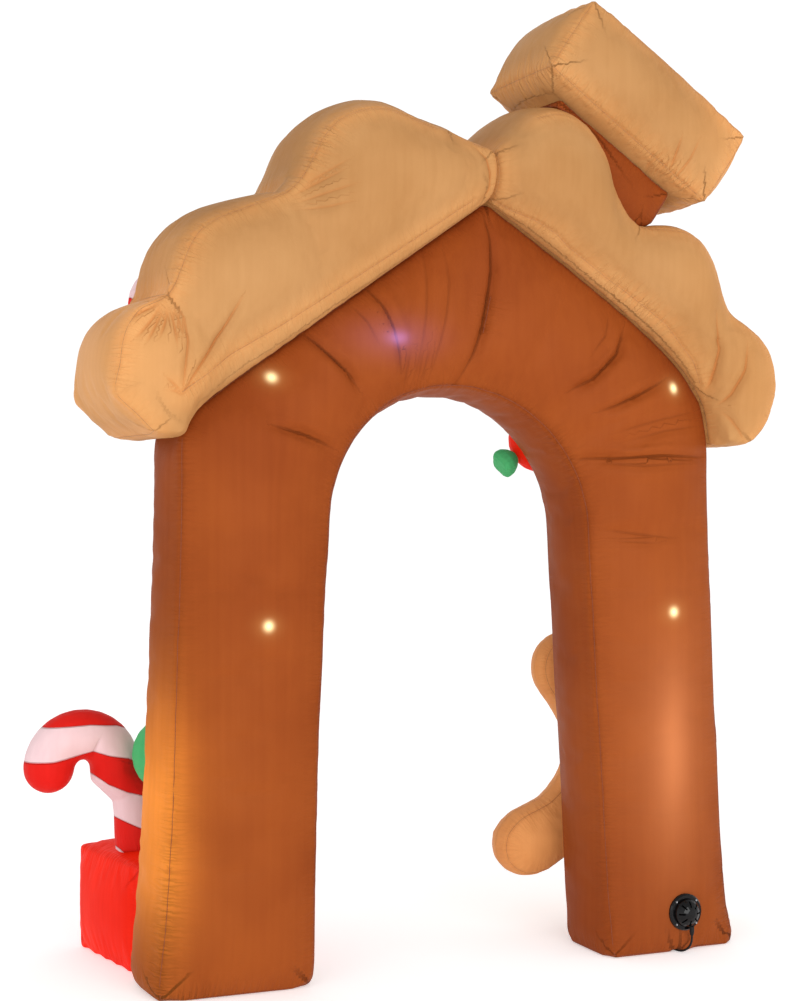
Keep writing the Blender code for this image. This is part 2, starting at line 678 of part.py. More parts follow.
def clip_behind(piece, y):
    """Cuts a round piece flat behind a plane, well inside what it is sewn to."""
    shape = bmesh.new()
    shape.from_mesh(piece.data)
    local = y - piece.location.y
    everything = [*shape.verts, *shape.edges, *shape.faces]
    cut = bmesh.ops.bisect_plane(
        shape, geom=everything, plane_co=(0, local, 0), plane_no=(0, 1, 0), clear_inner=True
    )
    rim = [edge for edge in cut["geom_cut"] if isinstance(edge, bmesh.types.BMEdge)]
    bmesh.ops.contextual_create(shape, geom=rim)
    bmesh.ops.recalc_face_normals(shape, faces=shape.faces)
    bmesh.ops.triangulate(shape, faces=shape.faces)
    shape.to_mesh(piece.data)
    shape.free()


def build_twist(name, side, ball, arch_cutter, collection):
    """One gathered end of the sweet's wrapper, flaring away from the ball in four pleats."""
    sides = 16
    start = SWEET_RADII[0] + SEAT_CLEARANCE
    rings = []
    for share, width in TWIST_PROFILE:
        ring = []
        for i in range(sides):
            angle = 2 * math.pi * i / sides
            pleat = 1.0 - PLEAT_DEPTH * share * (1 - math.cos(4 * angle)) / 2
            radius = TWIST_RADIUS * width * pleat
            along = side * (start + TWIST_LENGTH * share)
            ring.append(Vector((along, radius * math.cos(angle), radius * math.sin(angle))))
        rings.append(ring)
    twist = loft(name, rings, "green_cloth", collection)
    twist.matrix_world = ball.matrix_world.copy()
    cut_away(twist, arch_cutter)
    return twist


def smooth_outline(rows, steps):
    """A closed outline through the rows' points, curved everywhere but along the ground."""
    made = []
    count = len(rows)
    for i in range(count):
        p0, p1, p2, p3 = (rows[(i + k) % count] for k in (-1, 0, 1, 2))
        if p1.up == 0.0 and p2.up == 0.0:
            stride = (p2.across - p1.across) / (2 * steps)
            made.extend((p1.across + stride * k, 0.0) for k in range(2 * steps))
            continue
        for k in range(steps):
            t = k / steps
            point = []
            for a, b, c, d in zip(p0, p1, p2, p3):
                bend = (c - a) + t * (2 * a - 5 * b + 4 * c - d + t * (3 * (b - c) + d - a))
                point.append(b + 0.5 * t * bend)
            made.append((point[0], max(point[1], 0.0)))
    return made


def distance_to(outline, point):
    """The distance from a point to the nearest part of a closed outline."""
    best = math.inf
    for start, end in zip(outline, [*outline[1:], outline[0]]):
        start, end = Vector(start), Vector(end)
        nearest, share = intersect_point_line(point, start, end)
        share = min(max(share, 0.0), 1.0)
        best = min(best, (start.lerp(end, share) - Vector(point)).length)
    return best


def inside_points(outline, spacing):
    """Points of an even grid that lie well inside a closed outline."""
    across = [p[0] for p in outline]
    up = [p[1] for p in outline]
    made = []
    for i in range(int((max(across) - min(across)) / spacing) + 1):
        for k in range(int((max(up) - min(up)) / spacing) + 1):
            point = (min(across) + (i + 0.5) * spacing, min(up) + (k + 0.5) * spacing)
            crossings = 0
            for (x1, z1), (x2, z2) in zip(outline, [*outline[1:], outline[0]]):
                if (z1 > point[1]) != (z2 > point[1]):
                    crossings += point[0] < x1 + (x2 - x1) * (point[1] - z1) / (z2 - z1)
            if crossings % 2 and distance_to(outline, point) > spacing * 0.45:
                made.append(point)
    return made


def sewn_figure(name, outline, y, finish, collection):
    """Two panels of one outline with a gusset sewn between them, all blown up."""
    count = len(outline)
    inner = inside_points(outline, FIGURE_GRID)
    edges = [(i, (i + 1) % count) for i in range(count)]
    places, _, faces, _, _, _ = delaunay_2d_cdt([Vector(p) for p in (*outline, *inner)], edges, [], 1, 0.0001)
    heights = [
        0.0 if i < count else FIGURE_PUFF * min(distance_to(outline, p) / FIGURE_FULL_AT, 1.0) ** 0.6
        for i, p in enumerate(places)
    ]
    shape = bmesh.new()
    half = FIGURE_SEAM_DEPTH / 2
    back = [shape.verts.new((p.x, y - half - h, p.y)) for p, h in zip(places, heights)]
    front = [shape.verts.new((p.x, y + half + h, p.y)) for p, h in zip(places, heights)]
    middle = []
    for i in range(count):
        before, after = places[i - 1], places[(i + 1) % count]
        along = (after - before).normalized()
        out = Vector((-along.y, along.x)) * FIGURE_EDGE_PUFF
        grounded = places[i].y < 0.0001
        shifted = places[i] if grounded else places[i] + out * -1
        middle.append(shape.verts.new((shifted.x, y, max(shifted.y, 0.0))))
    for face in faces:
        shape.faces.new([back[i] for i in face])
        shape.faces.new([front[i] for i in reversed(face)])
    for i in range(count):
        j = (i + 1) % count
        shape.faces.new((back[i], back[j], middle[j], middle[i]))
        shape.faces.new((middle[i], middle[j], front[j], front[i]))
    return mesh_object(name, shape, finish, collection)


def build_figure(arch_cutter, collection):
    """The biscuit figure on the front of the right leg, one foot on the ground and the other kicked up."""
    outline = smooth_outline(FIGURE_ROWS, 2)
    figure = sewn_figure("biscuit_figure", outline, FIGURE_Y, "biscuit_cloth", collection)
    cut_away(figure, arch_cutter)
    return figure


def turned(name, profile, steps, finish, collection):
    """A turned solid: a profile of radius and height, spun round the upright axis."""
    shape = bmesh.new()
    line = [shape.verts.new((radius, 0, height)) for radius, height in profile]
    edges = [shape.edges.new(pair) for pair in zip(line, line[1:])]
    spun = {"geom": [*line, *edges], "cent": (0, 0, 0), "axis": (0, 0, 1)}
    bmesh.ops.spin(shape, **spun, angle=2 * math.pi, steps=steps, use_merge=True)
    bmesh.ops.remove_doubles(shape, verts=shape.verts, dist=0.00005)
    return mesh_object(name, shape, finish, collection)


def build_blower(arch_cutter, collection, cutters):
    """The blower's intake on the back of the right leg: a flange, and a slotted dome on it."""
    x, z = BLOWER_CENTRE
    face = Matrix.Translation((x, BLOWER_SEAT_Y, z)) @ Matrix.Rotation(math.pi / 2, 4, "X")
    rim = FLANGE_THICK / 2
    flange_profile = (
        (0, rim), (BLOWER_RADIUS - 0.004, rim), (BLOWER_RADIUS, rim - 0.004), (BLOWER_RADIUS, -rim), (0, -rim)
    )
    flange = turned("blower_flange", flange_profile, 28, "black_plastic", collection)
    flange.matrix_world = face
    cut_away(flange, arch_cutter)
    outer = [
        (DOME_RADIUS * math.cos(math.radians(a)), rim + GAP + DOME_HEIGHT * math.sin(math.radians(a)))
        for a in (90, 72, 54, 36, 18, 0)
    ]
    outer[0] = (0, outer[0][1])
    dome = turned("blower_dome", (*outer, (0, rim + GAP)), 28, "black_plastic", collection)
    dome.matrix_world = face
    slots = bmesh.new()
    for i in range(SLOT_COUNT):
        turn = Matrix.Rotation(2 * math.pi * i / SLOT_COUNT, 4, "Z")
        place = turn @ Matrix.Translation((SLOT_REACH, 0, rim + SLOT_HEIGHT))
        bmesh.ops.create_cube(slots, size=1.0, matrix=place @ Matrix.Diagonal((*SLOT_SIZE, 1.0)))
    cutter = mesh_object("dome_slots", slots, "black_plastic", cutters)
    cutter.matrix_world = face
    cutter.hide_render = True
    cutter.display_type = "WIRE"
    cut_away(dome, cutter)
    return flange


def smooth_route(points, spacing):
    """Points at even distances on a smooth curve through the route's own points."""
    fine = []
    for i in range(len(points) - 1):
        p0, p1, p2 = points[max(i - 1, 0)], points[i], points[i + 1]
        p3 = points[min(i + 2, len(points) - 1)]
        for k in range(20):
            t = k / 20
            fine.append(
                Vector(
                    b + 0.5 * t * ((c - a) + t * (2 * a - 5 * b + 4 * c - d + t * (3 * (b - c) + d - a)))
                    for a, b, c, d in zip(p0, p1, p2, p3)
                )
            )
    fine.append(Vector(points[-1]))
    kept = [fine[0]]
    for point in fine[1:]:
        if (point - kept[-1]).length >= spacing:
            kept.append(point)
    kept[-1] = fine[-1]
    return kept


def build_lead(arch_cutter, flange_cutter, collection):
    """The lead's gland under the flange, its run down and under the foot, its coil, and the plug."""
    gland = turned("lead_gland", GLAND_PROFILE, 12, "black_plastic", collection)
    gland.location = Vector(LEAD_ROUTE[0]) + Vector((0, 0, GAP))
    cut_away(gland, flange_cutter)
    cut_away(gland, arch_cutter)
    places = smooth_route(LEAD_ROUTE, LEAD_DIAMETER * 2)
    tube("lead_run", places, [LEAD_DIAMETER / 2] * len(places), "lead_rubber", 2, collection)
    band, height = COIL_BAND
    inner, outer = COIL_MEAN_RADIUS - band / 2, COIL_MEAN_RADIUS + band / 2
    coil_profile = ((inner, height), (outer, height), (outer, GAP), (inner, GAP), (inner, height))
    coil = turned("lead_coil", coil_profile, 28, "lead_rubber", collection)
    coil.location = (*COIL_CENTRE, 0)
    build_plug(collection)
    return gland, coil


def plain_box(name, size, centre, finish, collection):
    """A small box by its size and middle."""
    shape = bmesh.new()
    bmesh.ops.create_cube(shape, size=1.0, matrix=Matrix.Diagonal((*size, 1.0)))
    made = mesh_object(name, shape, finish, collection)
    made.location = centre
    return made


def build_plug(collection):
    """A two-blade plug on the ground, in line with the coil's outer turn."""
    outer = COIL_MEAN_RADIUS + COIL_BAND[0] / 2
    offset = outer - LEAD_DIAMETER / 2
    x = COIL_CENTRE[0] + offset
    corner = offset - PLUG_SIZE[0] / 2 + PLUG_BEVEL
    start = COIL_CENTRE[1] + math.sqrt(outer**2 - corner**2) + GAP
    z = PLUG_SIZE[2] / 2 + GAP
    body = plain_box("lead_plug", PLUG_SIZE, (x, start + PLUG_SIZE[1] / 2, z), "black_plastic", collection)
    edge = body.modifiers.new("Rounded edges", "BEVEL")
    edge.width = PLUG_BEVEL
    edge.segments = 2
    blade_y = start + PLUG_SIZE[1] + GAP + BLADE_SIZE[1] / 2
    for number, side in ((1, -1), (2, 1)):
        place = (x + side * BLADE_SPREAD / 2, blade_y, z)
        plain_box(f"plug_blade_{number}", BLADE_SIZE, place, "plug_metal", collection)


def settle_origin(pieces):
    """Moves everything so that the origin is on the ground in the middle of the pieces' outer box."""
    graph = bpy.context.evaluated_depsgraph_get()
    low, high = Vector((9, 9, 9)), Vector((-9, -9, -9))
    for piece in pieces:
        evaluated = piece.evaluated_get(graph)
        mesh = evaluated.to_mesh()
        for vertex in mesh.vertices:
            place = piece.matrix_world @ vertex.co
            low = Vector(map(min, low, place))
            high = Vector(map(max, high, place))
        evaluated.to_mesh_clear()
    middle = (low + high) / 2
    shift = Matrix.Translation((-middle.x, -middle.y, 0))
    for piece in list(bpy.data.objects):
        piece.matrix_world = shift @ piece.matrix_world
    print("middle of the footprint before the move:", round(middle.x, 5), round(middle.y, 5))


def main():
    clear_scene()
    parts = new_collection("inflatable_archway")
    cutters = new_collection("cutters")
    arch = build_arch(parts)
    groove_low = (GROOVE_X - GROOVE_WIDTH / 2, -0.3, -0.02)
    groove_high = (GROOVE_X + GROOVE_WIDTH / 2, 0.3, GROOVE_HEIGHT)
    cut_away(arch, box_cutter("lead_groove", groove_low, groove_high, cutters))
    arch_cutter = offset_copy(arch, SEAT_CLEARANCE, cutters)
    left = build_roof("roof_left", LEFT_ROWS, -1, arch_cutter, parts)
    right = build_roof("roof_right", RIGHT_ROWS, 1, arch_cutter, parts)
    build_chimney(right, parts, cutters)
    box = build_gift_box(arch_cutter, parts)
    build_cane(box, parts, cutters)
    build_sweets(arch_cutter, offset_copy(left, SEAT_CLEARANCE, cutters), parts)
    build_figure(arch_cutter, parts)
    flange = build_blower(arch_cutter, parts, cutters)
    build_lead(arch_cutter, offset_copy(flange, SEAT_CLEARANCE, cutters), parts)
    bpy.context.view_layer.update()
    settle_origin([piece for piece in parts.objects if not piece.name.startswith(("lead_", "plug_"))])


main()
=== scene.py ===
# %% [markdown]
# # A blown-up gingerbread-house archway
# Cells that start with a title make something, and cells like this one say what it is on the real object, how
# it could be made, and why this way was chosen. Everything is in metres, with Z up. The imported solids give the
# shape and the place of every chamber; this lesson turns them into lit, sewn cloth full of air.

import math

import bmesh
import bpy
import numpy as np
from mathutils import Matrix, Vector
from mathutils.bvhtree import BVHTree
from mathutils.kdtree import KDTree


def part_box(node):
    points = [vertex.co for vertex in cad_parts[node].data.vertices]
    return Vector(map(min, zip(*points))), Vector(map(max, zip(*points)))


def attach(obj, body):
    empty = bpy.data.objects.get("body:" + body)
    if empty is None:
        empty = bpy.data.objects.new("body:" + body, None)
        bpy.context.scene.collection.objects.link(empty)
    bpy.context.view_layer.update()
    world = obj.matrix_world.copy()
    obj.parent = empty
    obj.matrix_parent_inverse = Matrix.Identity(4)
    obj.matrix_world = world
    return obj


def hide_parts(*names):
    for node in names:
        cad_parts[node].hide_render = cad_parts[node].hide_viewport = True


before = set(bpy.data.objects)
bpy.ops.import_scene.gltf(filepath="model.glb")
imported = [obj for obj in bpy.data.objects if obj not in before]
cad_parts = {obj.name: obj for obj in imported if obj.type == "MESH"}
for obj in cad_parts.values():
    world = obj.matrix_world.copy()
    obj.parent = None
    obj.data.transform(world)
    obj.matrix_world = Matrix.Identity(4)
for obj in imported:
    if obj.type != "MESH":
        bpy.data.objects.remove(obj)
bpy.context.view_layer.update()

# %% [markdown]
# ## Camera
# A walk-through arch is best seen from a few metres away at the height of a person's chest, a little to one
# side, so that one outer wall and one inner wall of the legs show. A long lens keeps the legs upright. The
# camera could be tilted up to take in the roof, but that would lean the legs together, so it stays level.

# %% Place the camera
VIEW_TURN = math.radians(-23.0)
bpy.ops.object.camera_add(location=(-2.1122, -4.9566, 1.30), rotation=(math.radians(90), 0, VIEW_TURN))
camera = bpy.context.object
camera.name = "camera"
camera.data.sensor_width = 36.0
camera.data.lens = 67.76
camera.data.shift_y = -0.007
bpy.context.scene.camera = camera
print("camera at", tuple(round(v, 3) for v in camera.location), "lens", round(camera.data.lens, 2))

# %% [markdown]
# ## The blower's lead
# A blower like this hangs on a 6 mm round lead. It leaves the gland under the intake, drops to the ground, runs
# through the groove under the foot and is wound up behind the leg. A curve with a round bevel is right for a
# cord: its own line is the middle of the cord, so its length can be measured and set. The coil is wound in two
# layers, inwards on the ground and then outwards on top, so that no turn passes through another.

# %% The lead's route
SHIFT = Vector((0.05329, -0.17239, 0.0))
LEAD_THICK = 0.006
LOW = 0.0033
LEAD_ROUTE = (
    (0.6740, -0.2030, 0.0510), (0.6738, -0.2033, 0.0420), (0.6712, -0.2030, 0.0290),
    (0.6662, -0.1995, 0.0175), (0.6595, -0.1920, 0.0090), (0.6530, -0.1800, 0.0044),
    (0.6492, -0.1630, LOW), (0.6480, -0.1300, LOW), (0.6480, -0.0800, LOW), (0.6480, -0.0300, LOW),
    (0.6480, 0.0300, LOW), (0.6480, 0.0900, LOW), (0.6480, 0.1500, LOW), (0.6490, 0.1800, LOW),
    (0.6560, 0.2080, LOW), (0.6680, 0.2360, LOW), (0.6800, 0.2620, LOW), (0.6880, 0.2830, LOW),
    (0.6935, 0.3000, LOW), (0.6962, 0.3160, LOW),
)
COIL_CENTRE = Vector((0.655, 0.330, 0.0))
COIL_TURNS = 6
LAYER_TURNS = 2.85
COIL_WIDE = 0.0415
COIL_NARROW = COIL_WIDE - LEAD_THICK * LAYER_TURNS
TURN_POINTS = 16


def coil_places():
    """The coil's middle line: inwards on the ground for half its turns, then up and outwards on top."""
    places = []
    steps = COIL_TURNS * TURN_POINTS
    for i in range(steps + 1):
        turns = i / TURN_POINTS
        if turns <= LAYER_TURNS:
            radius = COIL_WIDE - LEAD_THICK * turns
            height = LOW
        elif turns >= COIL_TURNS - LAYER_TURNS:
            radius = COIL_WIDE - LEAD_THICK * (COIL_TURNS - turns)
            height = LOW + LEAD_THICK
        else:
            share = (turns - LAYER_TURNS) / (COIL_TURNS - 2 * LAYER_TURNS)
            radius = COIL_NARROW
            height = LOW + LEAD_THICK * share * share * (3 - 2 * share)
        angle = 2 * math.pi * turns
        places.append(COIL_CENTRE + Vector((radius * math.cos(angle), radius * math.sin(angle), height)))
    return places


lead_places = [Vector(p) + SHIFT for p in LEAD_ROUTE] + [p + SHIFT for p in coil_places()]
lead_places.append(lead_places[-1] + Vector((0.0, 0.008, 0.0)))
print("lead points:", len(lead_places))


# %% The lead as a curve
def choose(*pieces):
    """Selects only these pieces and makes the first one active, because an operator acts on all selected."""
    bpy.ops.object.select_all(action="DESELECT")
    for one in pieces:
        one.select_set(True)
    bpy.context.view_layer.objects.active = pieces[0]


def curve_length(places):
    """The length of a line through the places, in metres."""
    return sum((b - a).length for a, b in zip(places, places[1:]))


lead_line = bpy.data.curves.new("blower_lead", "CURVE")
lead_line.dimensions = "3D"
lead_line.bevel_depth = 1.0
lead_line.bevel_resolution = 3
lead_line.resolution_u = 3
lead_line.use_fill_caps = True
lead_spline = lead_line.splines.new("BEZIER")
lead_spline.bezier_points.add(len(lead_places) - 1)
for knot, place in zip(lead_spline.bezier_points, lead_places):
    knot.co = place
    knot.radius = LEAD_THICK / 2
    knot.handle_left_type = knot.handle_right_type = "AUTO"
blower_lead = bpy.data.objects.new("blower_lead", lead_line)
bpy.context.scene.collection.objects.link(blower_lead)
print("lead measures", round(curve_length(lead_places), 3), "m")

# %% [markdown]
# ### The plug
# The lead ends in a moulded two-blade plug: a soft-edged body that narrows towards the cord. A box is added at
# its size, its cord end is drawn in, and its edges are rounded with a bevel.


# %% Model the plug
def low_high(node):
    """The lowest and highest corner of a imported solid, as vectors."""
    low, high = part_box(node)
    return Vector(low), Vector(high)


def edit(piece):
    """Opens a piece in edit mode with nothing selected."""
    choose(piece)
    bpy.ops.object.mode_set(mode="EDIT")
    bpy.ops.mesh.select_all(action="DESELECT")


def pick(piece, test, kind="FACE"):
    """Selects the faces, edges or corners of the piece in edit mode whose middle and normal pass the test."""
    bpy.ops.mesh.select_mode(type=kind)
    shape = bmesh.from_edit_mesh(piece.data)
    found = 0
    for part in {"FACE": shape.faces, "EDGE": shape.edges, "VERT": shape.verts}[kind]:
        middle = part.co if kind == "VERT" else sum((v.co for v in part.verts), Vector()) / len(part.verts)
        normal = part.normal if kind != "EDGE" else Vector()
        part.select_set(bool(test(middle, normal)))
        found += part.select
    shape.select_flush_mode()
    bmesh.update_edit_mesh(piece.data)
    return found


plug_low, plug_high = low_high("lead_plug")
plug_middle = (plug_low + plug_high) / 2
bpy.ops.object.select_all(action="DESELECT")
bpy.ops.mesh.primitive_cube_add(size=1.0, location=(0, 0, 0))
plug = bpy.context.object
plug.name = "plug_body"
plug.scale = plug_high - plug_low - Vector((0.0004, 0.0004, 0.0004))
plug.location = plug_middle
bpy.ops.object.transform_apply(location=True, rotation=True, scale=True)
edit(plug)
bpy.ops.mesh.select_all(action="SELECT")
bpy.ops.mesh.subdivide(number_cuts=5)
pick(plug, lambda m, n: n.y < -0.9)
bpy.ops.transform.resize(value=(0.62, 1.0, 0.62), center_override=tuple(plug_middle))
bpy.ops.object.mode_set(mode="OBJECT")
soften = plug.modifiers.new("Rounded body", "BEVEL")
soften.width = 0.0022
soften.segments = 3
soften.angle_limit = math.radians(40)
bpy.ops.object.modifier_apply(modifier=soften.name)
bpy.ops.object.shade_smooth_by_angle(angle=math.radians(50))
print("plug faces:", len(plug.data.polygons))

# %% [markdown]
# ## Cloth from solids
# Each chamber is thin nylon sewn from flat pieces and pressed out by air. It could be modelled by hand with
# subdivision surfaces, but pressed-out cloth has a look of its own: it swells between its seams and is held
# in at them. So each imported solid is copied, given an even grid, and pressed out by a short cloth simulation
# whose seams are pinned. The seams themselves are read from the solid's sharp edges first, since an even grid
# rounds them away, and are put back afterwards as grooves, gathers and sewn welts.


# %% Copy a chamber and find its seams
def merged_copy(node, name):
    """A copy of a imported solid's mesh with its doubled corners merged, as a piece of its own."""
    piece = bpy.data.objects.new(name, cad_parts[node].data.copy())
    bpy.context.scene.collection.objects.link(piece)
    piece.data.materials.clear()
    edit(piece)
    bpy.ops.mesh.select_all(action="SELECT")
    bpy.ops.mesh.remove_doubles(threshold=0.00002)
    bpy.ops.object.mode_set(mode="OBJECT")
    return piece


def seam_chains(piece, angle, shortest):
    """Lines of places along the piece's sharp edges, joined end to end where two of them meet."""
    shape = bmesh.new()
    shape.from_mesh(piece.data)
    limit = math.radians(angle)
    edges = {e for e in shape.edges if len(e.link_faces) == 2 and e.calc_face_angle(0.0) > limit}
    at = {}
    for e in edges:
        for v in e.verts:
            at.setdefault(v, []).append(e)
    ends = [v for v in at if len(at[v]) != 2] + [v for v in at if len(at[v]) == 2]
    chains = []
    for start in sorted(ends, key=lambda v: (len(at[v]) == 2, v.index)):
        for first in at[start]:
            if first not in edges:
                continue
            chain, here, e = [start.co.copy()], start, first
            while e is not None and e in edges:
                edges.discard(e)
                here = e.other_vert(here)
                chain.append(here.co.copy())
                more = [k for k in at[here] if k in edges]
                e = more[0] if len(at[here]) == 2 and more else None
            if curve_length(chain) > shortest:
                chains.append(chain)
    shape.free()
    return chains


def resampled(chain, spacing):
    """Places at an even spacing along a chain."""
    places, left = [chain[0]], spacing
    for a, b in zip(chain, chain[1:]):
        span = (b - a).length
        done = 0.0
        while span - done >= left:
            done += left
            places.append(a.lerp(b, done / span))
            left = spacing
        left -= span - done
    return places


# %% [markdown]
# ### Air pressure
# The corners of the grid that lie on a seam, on the ground or against a neighbouring chamber are pinned.
# The rest is pressed outwards for twenty frames. How far a corner may move is capped, so a chamber keeps its
# size and its neighbours keep their room.

# %% Press the cloth out
SAMPLE = 0.004


def seam_tree(chains):
    """A search tree over the seams' places, with the running length at each place."""
    places, runs, run = [], [], 0.0
    for chain in chains:
        for place in resampled(chain, SAMPLE):
            places.append(place)
            runs.append(run)
            run += SAMPLE
        run += 1.0
    tree = KDTree(len(places))
    for i, place in enumerate(places):
        tree.insert(place, i)
    tree.balance()
    return tree, np.array(runs)


def corners(piece):
    """The piece's corners as an array of places."""
    flat = np.empty(len(piece.data.vertices) * 3)
    piece.data.vertices.foreach_get("co", flat)
    return flat.reshape(-1, 3)


def corner_normals(piece):
    """The outward direction at each corner."""
    flat = np.empty(len(piece.data.vertices) * 3, dtype=np.float32)
    piece.data.vertex_normals.foreach_get("vector", flat)
    return flat.reshape(-1, 3).astype(float)


def set_corners(piece, places):
    """Moves the piece's corners to new places."""
    piece.data.vertices.foreach_set("co", places.reshape(-1))
    piece.data.update()


def surface_tree(node):
    """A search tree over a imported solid's surface."""
    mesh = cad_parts[node].data
    return BVHTree.FromPolygons([v.co for v in mesh.vertices], [p.vertices[:] for p in mesh.polygons])


def held_weights(piece, seams, neighbours, voxel):
    """How firmly each corner is pinned: on seams, on the ground and against neighbours."""
    places = corners(piece)
    tree, _ = seams
    weights = np.zeros(len(places))
    trees = [surface_tree(node) for node in neighbours]
    for i, place in enumerate(places):
        gap = tree.find(place)[2]
        gap = 1.0 if gap is None else gap
        weights[i] = 1.0 - min(max((gap - 0.6 * voxel) / (2.2 * voxel), 0.0), 1.0)
        if place[2] < 0.02:
            weights[i] = 1.0
        for other in trees:
            if weights[i] < 1.0 and other.find_nearest(place, 0.022)[0] is not None:
                weights[i] = 1.0
    return weights


def even_grid(piece, voxel):
    """Gives the piece an even grid of small faces."""
    choose(piece)
    grid = piece.modifiers.new("Even grid", "REMESH")
    grid.mode = "VOXEL"
    grid.voxel_size = voxel
    grid.use_smooth_shade = True
    bpy.ops.object.modifier_apply(modifier=grid.name)


def press_out(piece, seams, neighbours, voxel, cap, slack):
    """Lets air pressure swell the cloth between its seams, and keeps each corner within the cap."""
    start = corners(piece)
    weights = held_weights(piece, seams, neighbours, voxel)
    pins = piece.vertex_groups.new(name="pins")
    for level in range(1, 11):
        picked = np.nonzero(np.round(weights * 10).astype(int) == level)[0]
        pins.add([int(i) for i in picked], level / 10, "REPLACE")
    cloth = piece.modifiers.new("Air", "CLOTH")
    facts = cloth.settings
    facts.quality = 4
    facts.mass = 0.2
    facts.tension_stiffness = facts.compression_stiffness = 12
    facts.shear_stiffness = 4
    facts.bending_stiffness = 0.6
    facts.vertex_group_mass = pins.name
    facts.use_pressure = True
    facts.uniform_pressure_force = 4.0
    facts.shrink_min = -slack
    facts.effector_weights.gravity = 0.0
    cloth.point_cache.frame_start = 1
    cloth.point_cache.frame_end = 20
    for step in range(1, 21):
        bpy.context.scene.frame_set(step)
    choose(piece)
    bpy.ops.object.modifier_apply(modifier=cloth.name)
    bpy.context.scene.frame_set(1)
    moved = corners(piece) - start
    far = np.linalg.norm(moved, axis=1)
    kept = np.minimum(far, cap) / np.maximum(far, 1e-9)
    set_corners(piece, start + moved * kept[:, None])
    piece.vertex_groups.clear()
    print(piece.name, "swelled by up to", round(float(far.max()) * 1000, 1), "mm, cap", cap * 1000)


# %% [markdown]
# ### Gathers, grooves and folds
# Thread draws each seam in, and the cloth beside it puckers into short folds that fade away from the seam. At
# the gable the flat cloth is bent round the crown of the doorway, so long folds fan out from it. Both are
# shape rather than colour: the corners are moved in and out along their normals. The distance to the seam and
# the length along it are kept on the mesh, so that the cloth's finish can add what is finer than the grid.


# %% Draw in the seams and add the folds
FOLD_HALF = 0.020


def ripple(run, length, seed):
    """Seeded smooth ups and downs from -1 to 1, one about every length."""
    table = np.random.default_rng(seed).uniform(-1, 1, 4096)
    place = run / length
    cell = np.floor(place).astype(int)
    share = place - cell
    share = share * share * (3 - 2 * share)
    return table[cell % 4096] * (1 - share) + table[(cell + 1) % 4096] * share


def fold_field(places, folds):
    """For each place: how far the nearest fold is, how deep it is there, and on which side of it the place is."""
    nearest = np.full(len(places), 1.0)
    depth = np.zeros(len(places))
    side = np.ones(len(places))
    flat = places[:, [0, 2]]
    for line, strength in folds:
        points = np.array(line) + np.array([SHIFT.x, 0.0])
        spans = np.linalg.norm(np.diff(points, axis=0), axis=1)
        total, before = spans.sum(), 0.0
        for a, b, span in zip(points, points[1:], spans):
            along = np.clip(((flat - a) @ (b - a)) / span**2, 0.0, 1.0)
            gap = np.linalg.norm(flat - a - along[:, None] * (b - a), axis=1)
            share = (before + along * span) / total
            closer = gap < nearest
            nearest[closer] = gap[closer]
            depth[closer] = strength * np.sin(np.pi * np.clip(share[closer], 0.03, 0.97)) ** 0.6
            across = (b - a)[0] * (flat - a)[:, 1] - (b - a)[1] * (flat - a)[:, 0]
            side[closer] = np.sign(across[closer])
            before += span
    return nearest, depth, side


def keep(piece, name, values):
    """Stores one number a corner on the mesh, for the finish to read."""
    store = piece.data.attributes.new(name, "FLOAT", "POINT")
    store.data.foreach_set("value", values.astype(np.float32))


def gather(piece, seams, pucker, reach, wave, groove, tight=(), calm=0.3, folds=(), fold_depth=0.0, seed=1):
    """Draws the seams in, puckers the cloth beside them and presses in the long folds.

    tight lists the places where a seam is drawn in hard, each with its reach and its strength. Elsewhere the
    seam lies calmly, with only the calm share of the puckers.
    """
    places, outward = corners(piece), corner_normals(piece)
    tree, runs = seams
    gap = np.full(len(places), 1.0)
    run = np.zeros(len(places))
    for i, place in enumerate(places):
        _, index, near = tree.find(place)
        if index is not None:
            gap[i], run[i] = near, runs[index]
    lean = 0.35 * ripple(run, 0.22, seed + 5)
    waves = np.abs(ripple(run + lean * gap, wave, seed)) ** 0.8 - 0.35
    patch = np.clip(0.55 + 0.9 * ripple(run, 0.26, seed + 1), 0.08, 1.0)
    length = reach * (0.55 + 0.8 * np.abs(ripple(run, wave * 1.7, seed + 2)))
    rise = np.clip(gap / 0.010, 0.0, 1.0)
    pull = np.full(len(places), calm)
    for centre, size, strength in tight:
        apart = (places - np.array(centre) - np.array(SHIFT)) / np.array(size)
        pull = np.maximum(pull, strength * np.exp(-np.sum(apart**2, axis=1)))
    push = pucker * pull * patch * waves * rise * np.exp(-gap / (length * (0.5 + 0.5 * pull)))
    push -= groove * np.exp(-((gap / 0.007) ** 2))
    fold_gap, depth, side = fold_field(places, folds)
    facing = np.clip((np.abs(outward[:, 1]) - 0.35) / 0.3, 0.0, 1.0)
    depth = depth * facing
    push += fold_depth * depth * (
        0.55 * np.exp(-(((fold_gap - 0.026) / 0.018) ** 2)) - np.exp(-((fold_gap / 0.010) ** 2))
    )
    push[places[:, 2] < 0.012] = 0.0
    set_corners(piece, places + outward * push[:, None])
    keep(piece, "seam_gap", gap)
    keep(piece, "seam_pull", pull)
    keep(piece, "seam_run", run)
    keep(piece, "fold_side_gap", fold_gap * side)
    keep(piece, "fold_depth", np.where(fold_gap < FOLD_HALF, depth, 0.0))


# %% [markdown]
# ### Sewn welts
# Where two panels meet, the turned-in edges stand as a narrow ridge with a line of stitches. Along each seam
# a thin round welt is laid on the finished cloth: the seam's line becomes a curve with a small bevel, and then
# a mesh. It could be painted on instead, but a raised welt also catches the light.


# %% Lay the welts
def surface_of(piece):
    """A search tree over a finished piece's own surface."""
    mesh = piece.data
    return BVHTree.FromPolygons([v.co for v in mesh.vertices], [p.vertices[:] for p in mesh.polygons])


